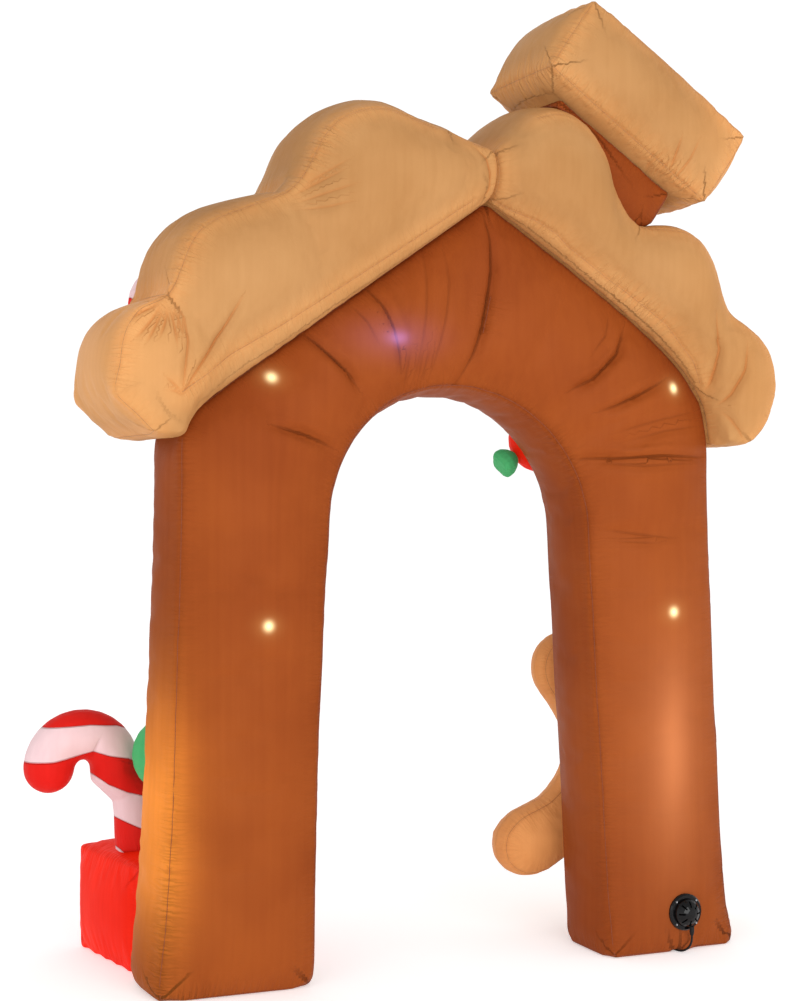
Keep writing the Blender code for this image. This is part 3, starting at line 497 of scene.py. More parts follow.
def lay_welts(name, piece, chains, radius, spacing):
    """A thin raised welt along each seam, laid on the piece's finished surface."""
    cloth = surface_of(piece)
    line = bpy.data.curves.new(name, "CURVE")
    line.dimensions = "3D"
    line.bevel_depth = radius
    line.bevel_resolution = 1
    line.use_fill_caps = True
    for chain in chains:
        places = resampled(chain, spacing)
        if len(places) < 4:
            continue
        laid = []
        for place in places:
            hit, normal, _, _ = cloth.find_nearest(place)
            laid.append(hit + normal * radius * 0.15)
        for _ in range(2):
            inner = [(a + b * 2 + c) / 4 for a, b, c in zip(laid, laid[1:], laid[2:])]
            laid = [laid[0], *inner, laid[-1]]
        spline = line.splines.new("POLY")
        spline.points.add(len(laid) - 1)
        for point, place in zip(spline.points, laid):
            point.co = (*place, 1.0)
    welts = bpy.data.objects.new(name, line)
    bpy.context.scene.collection.objects.link(welts)
    choose(welts)
    bpy.ops.object.convert(target="MESH")
    welts = bpy.context.object
    for face in welts.data.polygons:
        face.use_smooth = True
    print(name, "faces:", len(welts.data.polygons))
    return welts


# %% [markdown]
# ### One recipe for every chamber
# The steps are the same for each chamber, and only their sizes differ: how fine the grid is, how far air may
# press it, how deep the gathers are.

# %% Dress a chamber
dressed = {}
SMALL_CAP = 0.0045


def back_seam(piece, line):
    """A seam across the back panel: a line given by its X and Z is laid on the piece from behind."""
    skin = surface_of(piece)
    places = resampled([Vector((x + SHIFT.x, -2.0, z)) for x, z in line], 0.01)
    hits = [skin.ray_cast(place, Vector((0.0, 1.0, 0.0)))[0] for place in places]
    return [hit for hit in hits if hit is not None]


def dress(node, name, voxel, cap, angle, neighbours, slack=0.01, shortest=0.10, strips=(), **how):
    """Copies a solid, presses it out as cloth unless its cap is small, subdivides it once and gathers it at its
    seams.
    """
    piece = merged_copy(node, name)
    chains = seam_chains(piece, angle, shortest) + [back_seam(piece, line) for line in strips]
    seams = seam_tree(chains)
    even_grid(piece, voxel)
    if cap > SMALL_CAP:
        press_out(piece, seams, neighbours, voxel, cap, slack)
    choose(piece)
    finer = piece.modifiers.new("Finer", "SUBSURF")
    finer.levels = finer.render_levels = 1
    bpy.ops.object.modifier_apply(modifier=finer.name)
    gather(piece, seams, **how)
    for face in piece.data.polygons:
        face.use_smooth = True
    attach(piece, "root")
    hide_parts(node)
    dressed[name] = (piece, chains)
    seam_length = sum(curve_length(chain) for chain in chains)
    print(name, "faces:", len(piece.data.polygons), "seams:", round(seam_length, 2), "m")
    return piece


# %% [markdown]
# ## The arch
# Two legs and a gable are one chamber. Its front and back are flat-cut panels, so when air fills it the
# faces crown and long folds fan out round the doorway, where there is more cloth than the curve needs.

# %% Make the arch
GABLE_FOLDS = (
    (((0.046, 2.085), (0.053, 1.989), (0.053, 1.903), (0.040, 1.828), (0.026, 1.742), (0.008, 1.677),
      (-0.016, 1.624), (-0.027, 1.600)), 1.0),
    (((-0.303, 1.861), (-0.263, 1.800), (-0.235, 1.733), (-0.218, 1.671), (-0.206, 1.619)), 0.9),
    (((-0.342, 1.802), (-0.308, 1.752), (-0.286, 1.700)), 0.4),
    (((-0.480, 1.730), (-0.425, 1.675), (-0.370, 1.625), (-0.334, 1.577)), 1.0),
    (((-0.080, 1.950), (-0.078, 1.866), (-0.089, 1.770), (-0.107, 1.674), (-0.115, 1.611)), 0.4),
    (((-0.132, 1.958), (-0.143, 1.821), (-0.155, 1.694), (-0.163, 1.594)), 0.35),
    (((-0.184, 1.682), (-0.188, 1.588)), 0.35),
    (((-0.132, 1.684), (-0.139, 1.594)), 0.35),
    (((-0.572, 1.477), (-0.485, 1.453), (-0.397, 1.420)), 0.9),
    (((0.482, 1.768), (0.442, 1.689), (0.363, 1.617), (0.295, 1.581)), 1.0),
    (((0.427, 1.801), (0.403, 1.739), (0.354, 1.686)), 0.4),
    (((0.603, 1.623), (0.512, 1.577), (0.432, 1.541), (0.383, 1.527)), 0.9),
    (((0.705, 1.535), (0.582, 1.508), (0.442, 1.470)), 0.35),
    (((0.715, 1.493), (0.593, 1.477), (0.492, 1.450)), 0.35),
    (((0.332, 1.394), (0.455, 1.399), (0.584, 1.406), (0.735, 1.404)), 1.0),
    (((0.391, 1.385), (0.519, 1.377), (0.682, 1.387)), 0.45),
    (((0.423, 1.198), (0.519, 1.186), (0.633, 1.174)), 0.4),
    (((0.455, 1.167), (0.584, 1.160)), 0.3),
)
ARCH_TIGHT = (
    ((-0.84, 0.0, 0.25), (0.20, 0.40, 0.36), 1.8), ((0.84, 0.0, 0.12), (0.12, 0.30, 0.22), 1.0),
    ((0.26, 0.0, 1.37), (0.14, 0.30, 0.14), 0.9), ((-0.30, 0.0, 1.50), (0.20, 0.30, 0.14), 0.6),
)
dress(
    "arch_body", "arch_cloth", 0.020, 0.012, 35,
    ["roof_left", "roof_right", "gift_box", "gumdrop", "wrapped_sweet", "biscuit_figure",
     "blower_flange", "lead_run", "lead_gland", "sweet_twist_lower", "sweet_twist_upper"],
    pucker=0.008, reach=0.050, wave=0.034, groove=0.0035, tight=ARCH_TIGHT, calm=0.30,
    folds=GABLE_FOLDS, fold_depth=0.012, seed=11,
)

# %% [markdown]
# ## The icing roof
# Each slope is a scalloped slab sewn from front, back and edge panels, with one more seam near its lower edge.
# The gussets round the scallops pucker strongly, and folds fan out below the notch between two scallops.

# %% Make the two slopes
LEFT_FOLDS = (
    (((-0.011, 2.225), (0.020, 2.201), (0.035, 2.156), (0.038, 2.116), (0.010, 2.077)), 0.8),
    (((-0.681, 1.793), (-0.712, 1.727), (-0.754, 1.655), (-0.796, 1.594), (-0.825, 1.548)), 1.0),
    (((-0.848, 1.792), (-0.822, 1.743), (-0.815, 1.683), (-0.822, 1.613), (-0.829, 1.553)), 0.8),
    (((-0.884, 1.775), (-0.924, 1.759), (-0.965, 1.737)), 0.9),
    (((-0.879, 1.768), (-0.911, 1.728), (-0.945, 1.689)), 0.8),
    (((-0.873, 1.763), (-0.897, 1.720), (-0.921, 1.678)), 0.8),
    (((-0.863, 1.761), (-0.873, 1.726), (-0.889, 1.691)), 0.8),
    (((-0.856, 1.766), (-0.849, 1.717), (-0.846, 1.672)), 0.8),
    (((-0.848, 1.770), (-0.835, 1.732), (-0.829, 1.693)), 0.7),
    (((-0.825, 1.548), (-0.848, 1.568), (-0.873, 1.587)), 0.6),
    (((-0.827, 1.545), (-0.843, 1.553), (-0.863, 1.557)), 0.5),
    (((-0.520, 2.071), (-0.465, 2.102), (-0.405, 2.135)), 0.45),
    (((-0.509, 2.051), (-0.443, 2.076), (-0.377, 2.098)), 0.4),
    (((-0.498, 2.093), (-0.449, 2.127), (-0.394, 2.161)), 0.4),
    (((-0.504, 2.031), (-0.438, 2.040), (-0.383, 2.054)), 0.35),
)
LEFT_STRIP = (
    ((-0.827, 1.553), (-0.691, 1.652), (-0.552, 1.732), (-0.421, 1.814), (-0.208, 1.954), (0.001, 2.093)),
)
LEFT_TIGHT = (
    ((-0.82, 0.0, 1.93), (0.10, 0.40, 0.16), 1.0), ((-0.45, 0.0, 2.19), (0.20, 0.40, 0.12), 1.1),
    ((-0.97, 0.0, 1.63), (0.08, 0.40, 0.12), 0.8), ((-0.83, 0.0, 1.55), (0.10, 0.40, 0.08), 0.9),
    ((-0.85, 0.0, 1.80), (0.08, 0.40, 0.08), 1.0),
)
RIGHT_FOLDS = (
    (((0.728, 1.806), (0.748, 1.710), (0.738, 1.613), (0.719, 1.530)), 0.9),
    (((0.831, 1.717), (0.820, 1.651), (0.784, 1.579), (0.748, 1.535)), 0.9),
    (((0.707, 1.503), (0.738, 1.526), (0.769, 1.540)), 0.6),
    (((0.769, 1.537), (0.800, 1.492), (0.831, 1.452)), 0.6),
    (((0.710, 1.510), (0.692, 1.551), (0.677, 1.577)), 0.4),
    (((0.714, 1.508), (0.728, 1.569), (0.731, 1.605)), 0.4),
)
RIGHT_STRIP = (
    ((0.039, 2.111), (0.108, 2.072), (0.183, 2.042), (0.248, 2.007), (0.286, 1.976), (0.452, 1.873),
     (0.591, 1.775), (0.692, 1.674), (0.722, 1.613), (0.719, 1.530)),
)
RIGHT_TIGHT = (
    ((0.38, 0.0, 2.18), (0.12, 0.40, 0.12), 1.1), ((0.51, 0.0, 2.08), (0.09, 0.40, 0.08), 0.9),
    ((0.65, 0.0, 1.97), (0.10, 0.40, 0.12), 0.7), ((0.50, 0.0, 1.83), (0.30, 0.40, 0.16), 0.9),
    ((0.75, 0.0, 1.53), (0.12, 0.40, 0.10), 0.8),
)
dress(
    "roof_left", "icing_left", 0.014, 0.012, 30,
    ["arch_body", "roof_right", "peppermint", "chimney_stack", "chimney_cap"],
    pucker=0.009, reach=0.055, wave=0.028, groove=0.0035, strips=LEFT_STRIP, tight=LEFT_TIGHT, calm=0.35,
    folds=LEFT_FOLDS, fold_depth=0.010, seed=23,
)
dress(
    "roof_right", "icing_right", 0.014, 0.012, 30,
    ["arch_body", "roof_left", "chimney_stack", "chimney_cap"],
    pucker=0.009, reach=0.055, wave=0.028, groove=0.0035, strips=RIGHT_STRIP, tight=RIGHT_TIGHT, calm=0.35,
    folds=RIGHT_FOLDS, fold_depth=0.010, seed=37,
)

# %% [markdown]
# ## The chimney
# A leaning brown stack carries a fat icing cap. The cap is a box of six panels, so its corners pinch and its
# edges pucker, while the panels between them crown.

# %% Make the stack and the cap
CAP_FOLDS = (
    (((0.573, 2.236), (0.579, 2.185), (0.586, 2.130)), 0.8),
    (((0.619, 2.297), (0.611, 2.249), (0.603, 2.207)), 0.7),
    (((0.524, 2.202), (0.548, 2.169), (0.563, 2.139)), 0.6),
    (((0.675, 2.291), (0.655, 2.238), (0.619, 2.187)), 0.6),
    (((0.544, 2.258), (0.555, 2.204), (0.573, 2.136)), 0.5),
)
CAP_TIGHT = (
    ((0.60, 0.0, 2.18), (0.20, 0.50, 0.12), 1.2), ((0.24, 0.0, 2.45), (0.14, 0.50, 0.16), 1.0),
    ((0.82, 0.0, 2.35), (0.12, 0.50, 0.20), 0.9),
)
dress(
    "chimney_stack", "chimney_stack_cloth", 0.012, 0.008, 30, ["roof_left", "roof_right", "chimney_cap"],
    pucker=0.004, reach=0.030, wave=0.024, groove=0.003, seed=41,
)
dress(
    "chimney_cap", "chimney_cap_cloth", 0.011, 0.012, 25, ["chimney_stack", "roof_right"],
    pucker=0.010, reach=0.060, wave=0.030, groove=0.0035, tight=CAP_TIGHT, calm=0.45,
    folds=CAP_FOLDS, fold_depth=0.009, seed=43,
)

# %% [markdown]
# ## The gift box, the cane, the sweets and the biscuit
# These are small chambers sewn to the front. From behind, the cane and the box stand out beside the left leg,
# and the biscuit and the wrapped sweet show through the doorway.

# %% Make the small chambers
CANE_PINCH = ((((-0.922, 0.565), (-0.920, 0.591), (-0.914, 0.611), (-0.904, 0.632)), 0.35),)
SMALL_CHAMBERS = (
    # solid, piece, grid, cap, seam angle, neighbours, pucker, reach, wave, groove, seed
    ("gift_box", "gift_box_cloth", 0.012, 0.010, 30, ("arch_body", "candy_cane"), 0.004, 0.035, 0.026, 0.003, 51),
    ("candy_cane", "candy_cane_cloth", 0.008, 0.005, 50, ("gift_box",), 0.0, 0.020, 0.020, 0.0, 53),
    ("biscuit_figure", "biscuit_cloth", 0.012, 0.010, 40, ("arch_body",), 0.0045, 0.030, 0.022, 0.003, 57),
    ("gumdrop", "gumdrop_cloth", 0.007, 0.004, 50, ("arch_body",), 0.003, 0.020, 0.018, 0.002, 59),
    ("peppermint", "peppermint_cloth", 0.007, 0.004, 50, ("roof_left",), 0.003, 0.020, 0.018, 0.002, 61),
    ("wrapped_sweet", "wrapped_sweet_cloth", 0.006, 0.003, 50,
     ("arch_body", "sweet_twist_lower", "sweet_twist_upper"), 0.003, 0.020, 0.016, 0.002, 63),
    ("sweet_twist_lower", "sweet_end_lower", 0.004, 0.002, 50, ("wrapped_sweet", "arch_body"),
     0.002, 0.012, 0.012, 0.001, 67),
    ("sweet_twist_upper", "sweet_end_upper", 0.004, 0.002, 50, ("wrapped_sweet", "arch_body"),
     0.002, 0.012, 0.012, 0.001, 71),
)
FOLDED = {"candy_cane": {"folds": CANE_PINCH, "fold_depth": 0.008}}
for node, name, voxel, most, angle, neighbours, pucker, reach, wave, groove, seed in SMALL_CHAMBERS:
    dress(
        node, name, voxel, most, angle, neighbours, **FOLDED.get(node, {}),
        pucker=pucker, reach=reach, wave=wave, groove=groove, seed=seed,
    )
cane, mint = dressed["candy_cane_cloth"][0], dressed["peppermint_cloth"][0]

# %% [markdown]
# ### Stripes
# The cane is sewn from red and white strips, and the peppermint from red and white wedges. Where each strip
# lies is worked out from the corner's place and kept on the mesh as one number, so the border between two
# strips stays sharp however coarse the grid is. An even number is red and an odd one is white.

# %% Number the strips
STRIP_BORDERS = (
    ((-1.137, 0.651), (-1.081, 0.657), (-1.009, 0.662), (-0.931, 0.666), (-0.852, 0.659), (-0.772, 0.630)),
    ((-1.137, 0.566), (-1.035, 0.569), (-0.968, 0.581), (-0.921, 0.592), (-0.878, 0.578), (-0.825, 0.569),
     (-0.761, 0.541)),
    ((-0.968, 0.429), (-0.931, 0.535), (-0.915, 0.526), (-0.878, 0.498), (-0.825, 0.474), (-0.740, 0.453)),
    ((-0.889, 0.429), (-0.876, 0.423), (-0.847, 0.400), (-0.783, 0.370), (-0.740, 0.354)),
    ((-0.889, 0.357), (-0.860, 0.334), (-0.825, 0.300), (-0.794, 0.285), (-0.740, 0.268)),
)


def strip_numbers(places):
    """Which strip of the cane each place lies in, counted from the top, with its share of the strip."""
    x, z = places[:, 0] - SHIFT.x, places[:, 2]
    heights = [np.full(len(x), 0.74)]
    for border in STRIP_BORDERS:
        heights.append(np.interp(x, [p[0] for p in border], [p[1] for p in border]))
    heights.append(np.full(len(x), 0.16))
    number = np.zeros(len(x))
    for i, (top, low) in enumerate(zip(heights, heights[1:])):
        inside = (z <= top) & (z > low)
        number[inside] = i + ((top - z) / np.maximum(top - low, 1e-4))[inside]
    return number


def wedge_numbers(places, centre, wedges):
    """Which wedge of the peppermint each place lies in, with the wedges swirling outwards."""
    x, z = places[:, 0] - centre[0], places[:, 2] - centre[2]
    turn = np.arctan2(z, x) / (2 * math.pi) + 1.2 * np.hypot(x, z)
    return np.mod(turn * wedges, wedges) + 2


mint_low, mint_high = low_high("peppermint")
keep(cane, "strip", strip_numbers(corners(cane)))
keep(mint, "strip", wedge_numbers(corners(mint), (mint_low + mint_high) / 2, 10))
print("cane strips:", len(STRIP_BORDERS) + 1, "peppermint wedges: 10")

# %% Lay the welts on the larger chambers
WELTS = (
    # piece, radius, spacing
    ("arch_cloth", 0.0009, 0.014), ("icing_left", 0.0008, 0.010), ("icing_right", 0.0008, 0.010),
    ("chimney_cap_cloth", 0.0008, 0.009), ("chimney_stack_cloth", 0.0008, 0.010),
    ("biscuit_cloth", 0.0008, 0.009),
)
for name, radius, spacing in WELTS:
    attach(lay_welts(name.replace("_cloth", "") + "_welts", *dressed[name], radius, spacing), "root")

# %% [markdown]
# ## The blower's intake
# The fan sits inside the foot, and only its intake shows: a round flange and a slotted dome of glossy black
# plastic, clamped through the cloth. The dome and flange are rigid and already right in the solids, so they
# only get a finish. Four small screws with a round recess in their heads are modelled once and copied.

# %% Model the screws
flange_low, flange_high = low_high("blower_flange")
flange_middle = (flange_low + flange_high) / 2
SCREW_CIRCLE = 0.0455
SCREW_RADIUS = 0.0030


def model_screw():
    """One pan-head screw facing -Y, at the origin: a short bevelled disc with a round recess pressed in."""
    bpy.ops.object.select_all(action="DESELECT")
    bpy.ops.mesh.primitive_cylinder_add(
        vertices=16, radius=SCREW_RADIUS, depth=0.0024, rotation=(math.radians(90), 0, 0)
    )
    screw = bpy.context.object
    bpy.ops.object.transform_apply(location=True, rotation=True, scale=True)
    edit(screw)
    pick(screw, lambda m, n: n.y < -0.9)
    bpy.ops.mesh.inset(thickness=0.0007, depth=0.0)
    bpy.ops.mesh.extrude_region_move(TRANSFORM_OT_translate={"value": (0, -0.0004, 0)})
    bpy.ops.mesh.inset(thickness=0.0012, depth=-0.0008)
    bpy.ops.object.mode_set(mode="OBJECT")
    bpy.ops.object.shade_smooth_by_angle(angle=math.radians(35))
    return screw


first_screw = model_screw()
for i in range(4):
    turn = math.radians(45 + 90 * i)
    mesh = first_screw.data.copy()
    place = Vector((
        flange_middle.x + SCREW_CIRCLE * math.cos(turn),
        flange_low.y - 0.0002,
        flange_middle.z + SCREW_CIRCLE * math.sin(turn),
    ))
    for corner in mesh.vertices:
        corner.co += place
    screw = bpy.data.objects.new(f"intake_screw_{i + 1}", mesh)
    bpy.context.scene.collection.objects.link(screw)
    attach(screw, "root")
bpy.data.objects.remove(first_screw)
print("screws: 4")

# %% Say what rides and what is hidden
for piece in (blower_lead, plug):
    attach(piece, "root")
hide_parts("lead_run", "lead_coil")
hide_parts("lead_plug")

# %% [markdown]
# ## Finishes
# Every finish is made from nodes. Three effects are shared, so each is a node group with named sockets that
# is built once: the taffeta's threads and crumple, the marks of a seam, and a pool of light from a lamp inside.
# A group puts out only numbers that change over the surface, and the shader stays in the material.


# %% Helpers for nodes
def add(tree, kind, **settings):
    """Adds a node with its settings."""
    made = tree.nodes.new(kind)
    for key, value in settings.items():
        setattr(made, key, value)
    return made


def maths(tree, operation, first, second=None, clamp=False):
    """A Math node; each input is a socket or a number."""
    made = add(tree, "ShaderNodeMath", operation=operation, use_clamp=clamp)
    for socket, value in zip(made.inputs, (first, second)):
        if value is None:
            continue
        if isinstance(value, (int, float)):
            socket.default_value = value
        else:
            tree.links.new(value, socket)
    return made.outputs[0]


def ranged(tree, value, low, high, out_low=0.0, out_high=1.0, smooth=True):
    """A Map Range node from low..high to out_low..out_high."""
    made = add(tree, "ShaderNodeMapRange", interpolation_type="SMOOTHSTEP" if smooth else "LINEAR")
    tree.links.new(value, made.inputs["Value"])
    for name, number in (("From Min", low), ("From Max", high), ("To Min", out_low), ("To Max", out_high)):
        made.inputs[name].default_value = number
    return made.outputs["Result"]


def mixed(tree, share, first, second, blend="MIX"):
    """A colour Mix node; each colour is a socket or a value."""
    made = add(tree, "ShaderNodeMix", data_type="RGBA", blend_type=blend)
    for socket, value in ((made.inputs[0], share), (made.inputs[6], first), (made.inputs[7], second)):
        if isinstance(value, bpy.types.NodeSocket):
            tree.links.new(value, socket)
        else:
            socket.default_value = value
    return made.outputs[2]


def new_group(name, inputs, outputs):
    """An empty node group with named sockets."""
    tree = bpy.data.node_groups.new(name, "ShaderNodeTree")
    for label, kind, value in inputs:
        socket = tree.interface.new_socket(name=label, in_out="INPUT", socket_type=kind)
        if value is not None:
            socket.default_value = value
    for label, kind in outputs:
        tree.interface.new_socket(name=label, in_out="OUTPUT", socket_type=kind)
    return tree, add(tree, "NodeGroupInput"), add(tree, "NodeGroupOutput")


FLOAT, VECTOR, COLOUR = "NodeSocketFloat", "NodeSocketVector", "NodeSocketColor"


# %% [markdown]
# ### Taffeta
# Blown-up decorations are nylon taffeta: a fine plain weave with a soft sheen, which crumples into small
# flat facets. Threads are sine waves along all three axes, so two sets cross on any face. The crumple is a
# ridged noise with small creases, and a wide soft noise with upright streaks varies the tone.

# %% Build the taffeta group
taffeta, t_in, t_out = new_group(
    "taffeta",
    [("Place", VECTOR, None), ("Threads per metre", FLOAT, 620.0), ("Crumple size", FLOAT, 22.0)],
    [("Height", FLOAT), ("Tone", FLOAT)],
)
split = add(taffeta, "ShaderNodeSeparateXYZ")
taffeta.links.new(t_in.outputs["Place"], split.inputs[0])
pitch = maths(taffeta, "MULTIPLY", t_in.outputs["Threads per metre"], 2 * math.pi)
threads = None
for axis in range(3):
    wave_out = maths(taffeta, "SINE", maths(taffeta, "MULTIPLY", split.outputs[axis], pitch))
    threads = wave_out if threads is None else maths(taffeta, "ADD", threads, wave_out)
crumple = add(taffeta, "ShaderNodeTexNoise", noise_type="RIDGED_MULTIFRACTAL", noise_dimensions="3D")
crumple.inputs["Detail"].default_value = 3.0
crumple.inputs["Roughness"].default_value = 0.45
crumple.inputs["Distortion"].default_value = 0.6
taffeta.links.new(t_in.outputs["Place"], crumple.inputs["Vector"])
taffeta.links.new(t_in.outputs["Crumple size"], crumple.inputs["Scale"])
upright = add(taffeta, "ShaderNodeMapping")
upright.inputs["Scale"].default_value = (55.0, 55.0, 1.1)
taffeta.links.new(t_in.outputs["Place"], upright.inputs[0])
streaks = add(taffeta, "ShaderNodeTexNoise")
streaks.inputs["Scale"].default_value = 1.0
streaks.inputs["Detail"].default_value = 2.0
taffeta.links.new(upright.outputs[0], streaks.inputs["Vector"])
creases = add(taffeta, "ShaderNodeTexNoise")
creases.inputs["Scale"].default_value = 70.0
creases.inputs["Detail"].default_value = 3.0
creases.inputs["Distortion"].default_value = 1.2
taffeta.links.new(t_in.outputs["Place"], creases.inputs["Vector"])
wide = add(taffeta, "ShaderNodeTexNoise")
wide.inputs["Scale"].default_value = 2.6
wide.inputs["Detail"].default_value = 3.0
taffeta.links.new(t_in.outputs["Place"], wide.inputs["Vector"])
thread_height = maths(taffeta, "MULTIPLY", threads, 0.004)
taffeta.links.new(
    maths(
        taffeta, "ADD", thread_height,
        maths(
            taffeta, "ADD",
            maths(taffeta, "MULTIPLY", crumple.outputs[0], 0.10),
            maths(taffeta, "MULTIPLY", creases.outputs[0], 0.05),
        ),
    ),
    t_out.inputs["Height"],
)
taffeta.links.new(
    maths(
        taffeta, "ADD",
        ranged(taffeta, wide.outputs[0], 0.32, 0.70, 0.0, 0.80),
        ranged(taffeta, streaks.outputs[0], 0.25, 0.75, 0.0, 0.20),
    ),
    t_out.inputs["Tone"],
)
print("taffeta nodes:", len(taffeta.nodes))

# %% [markdown]
# ### Seam marks
# The distance to the seam and the length along it, kept on the mesh, give what the grid is too coarse for: the
# dark line in the seam, the row of stitches beside it, fine puckers that fade out, and the sharp bottom of
# each long fold. The bottoms of the long folds and of the puckers are also darkened, as painted shade.

# %% Build the seam group
RUN_SCALE, GAP_SCALE = 62.0, 9.0
STITCH_GAP, STITCH_RATE = 0.0065, 1500.0
PUCKER_SHARE, FOLD_SHARE, STITCH_SHARE = 1.2, 0.8, 0.10
# The last two set how dark the painted shade is in the bottoms of the long folds and of the puckers.
LINE_DARK, STITCH_DARK, FOLD_SHADE, VALLEY_SHADE = 0.30, 0.10, 0.60, 0.30
seam_marks, s_in, s_out = new_group(
    "seam_marks",
    [("Gap", FLOAT, 1.0), ("Run", FLOAT, 0.0), ("Fold gap", FLOAT, 1.0), ("Fold depth", FLOAT, 0.0),
     ("Pull", FLOAT, 0.3), ("Pucker reach", FLOAT, 0.10)],
    [("Height", FLOAT), ("Seam line and crease shade", FLOAT)],
)


def mark(operation, first, second=None, clamp=False):
    """A Math node in the seam group."""
    return maths(seam_marks, operation, first, second, clamp)


gap_out, run_out = s_in.outputs["Gap"], s_in.outputs["Run"]
along = add(seam_marks, "ShaderNodeCombineXYZ")
seam_marks.links.new(mark("MULTIPLY", run_out, RUN_SCALE), along.inputs[0])
seam_marks.links.new(mark("MULTIPLY", gap_out, GAP_SCALE), along.inputs[1])
fine = add(seam_marks, "ShaderNodeTexNoise", noise_dimensions="2D")
fine.inputs["Scale"].default_value = 1.0
fine.inputs["Detail"].default_value = 1.5
seam_marks.links.new(along.outputs[0], fine.inputs["Vector"])
valley = mark("ABSOLUTE", mark("SUBTRACT", fine.outputs[0], 0.5))
reach_left = mark("SUBTRACT", 1.0, mark("DIVIDE", gap_out, s_in.outputs["Pucker reach"], True), True)
near = mark("MULTIPLY", mark("POWER", reach_left, 2.0), s_in.outputs["Pull"])
pucker_height = mark("MULTIPLY", ranged(seam_marks, valley, 0.0, 0.22), near)
stitch_gap = mark("ABSOLUTE", mark("SUBTRACT", gap_out, STITCH_GAP))
stitch_on = mark("GREATER_THAN", mark("SINE", mark("MULTIPLY", run_out, STITCH_RATE)), -0.3)
stitch_row = mark("MULTIPLY", ranged(seam_marks, stitch_gap, 0.0, 0.0014, 1.0, 0.0), stitch_on)
line_mask = ranged(seam_marks, gap_out, 0.0008, 0.0036, 1.0, 0.0)
fold_near = ranged(seam_marks, mark("ABSOLUTE", s_in.outputs["Fold gap"]), 0.0, 0.0060, 1.0, 0.0)
fold_mask = mark("MULTIPLY", fold_near, s_in.outputs["Fold depth"])
height_sum = mark(
    "SUBTRACT", mark("MULTIPLY", pucker_height, PUCKER_SHARE), mark("MULTIPLY", fold_mask, FOLD_SHARE)
)
height_sum = mark("SUBTRACT", height_sum, mark("MULTIPLY", stitch_row, STITCH_SHARE))
seam_marks.links.new(height_sum, s_out.inputs["Height"])
# What darkens the cloth: the seam's own dark line and stitches, and painted shade in fold and pucker bottoms.
seam_line_and_crease_shade = mark("ADD", mark("MULTIPLY", line_mask, LINE_DARK), mark("MULTIPLY", stitch_row, STITCH_DARK))
# Painted shade in the bottom of each long fold.
seam_line_and_crease_shade = mark("ADD", seam_line_and_crease_shade, mark("MULTIPLY", fold_mask, FOLD_SHADE))
# Painted shade in the bottoms of the puckers beside the seam.
valley_shade = mark("MULTIPLY", ranged(seam_marks, valley, 0.0, 0.10, 1.0, 0.0), near)
seam_line_and_crease_shade = mark("ADD", seam_line_and_crease_shade, mark("MULTIPLY", valley_shade, VALLEY_SHADE), True)
seam_marks.links.new(seam_line_and_crease_shade, s_out.inputs["Seam line and crease shade"])
print("seam nodes:", len(seam_marks.nodes))

# %% [markdown]
# ### Light from inside
# Lamps hang inside the chamber, and the cloth glows where one is near. Glowing cloth could be lit by real lamps
# through a thin wall, but that is slow and noisy, so each pool of light is a soft ellipsoid round a lamp that
# feeds the emission colour.

# %% Build the lamp group
lamp_pool, l_in, l_out = new_group(
    "lamp_pool",
    [("Place", VECTOR, None), ("Centre", VECTOR, None), ("Reach", VECTOR, (0.3, 0.3, 0.3)),
     ("Level", FLOAT, 1.0)],
    [("Glow", FLOAT)],
)
offset = add(lamp_pool, "ShaderNodeVectorMath", operation="SUBTRACT")
lamp_pool.links.new(l_in.outputs["Place"], offset.inputs[0])
lamp_pool.links.new(l_in.outputs["Centre"], offset.inputs[1])
shares = add(lamp_pool, "ShaderNodeVectorMath", operation="DIVIDE")
lamp_pool.links.new(offset.outputs[0], shares.inputs[0])
lamp_pool.links.new(l_in.outputs["Reach"], shares.inputs[1])
square = add(lamp_pool, "ShaderNodeVectorMath", operation="DOT_PRODUCT")
lamp_pool.links.new(shares.outputs[0], square.inputs[0])
lamp_pool.links.new(shares.outputs[0], square.inputs[1])
falloff = maths(lamp_pool, "EXPONENT", maths(lamp_pool, "MULTIPLY", square.outputs["Value"], -1.0))
lamp_pool.links.new(maths(lamp_pool, "MULTIPLY", falloff, l_in.outputs["Level"]), l_out.inputs["Glow"])
print("lamp nodes:", len(lamp_pool.nodes))


# %% A cloth from the three groups
def colour(red, green, blue):
    """A screen colour of 0 to 255 as a linear colour."""
    out = []
    for share in (red / 255, green / 255, blue / 255):
        out.append(share / 12.92 if share <= 0.04045 else ((share + 0.055) / 1.055) ** 2.4)
    return (*out, 1.0)


def read(tree, name):
    """The number kept on the mesh under this name."""
    return add(tree, "ShaderNodeAttribute", attribute_name=name).outputs["Fac"]


def place_group(tree, group, **values):
    """Places a group with its own values; a value is a socket, a number or a vector."""
    made = add(tree, "ShaderNodeGroup", node_tree=group)
    for label, value in values.items():
        socket = made.inputs[label.replace("_", " ")]
        if isinstance(value, bpy.types.NodeSocket):
            tree.links.new(value, socket)
        else:
            socket.default_value = value
    return made


def new_material(name):
    """An empty material with a Principled shader, and its tree."""
    made = bpy.data.materials.new(name)
    made.use_nodes = True
    tree = made.node_tree
    tree.nodes.clear()
    shader = add(tree, "ShaderNodeBsdfPrincipled")
    output = add(tree, "ShaderNodeOutputMaterial")
    tree.links.new(shader.outputs[0], output.inputs[0])
    return made, tree, shader


SHEEN, ROUGHNESS, RELIEF = 0.03, 0.50, 0.004
# How dark the colour is that the seam lines and the painted shade of folds and puckers take.
SEAM_AND_SHADE_SHARE = 0.28
RIM_REACH = 0.075
BORDER_RED = (0.36, 0.012, 0.012, 1.0)
RED_SHINE, WHITE_SHINE = (1.0, 0.10, 0.06, 1.0), (1.0, 0.90, 0.88, 1.0)


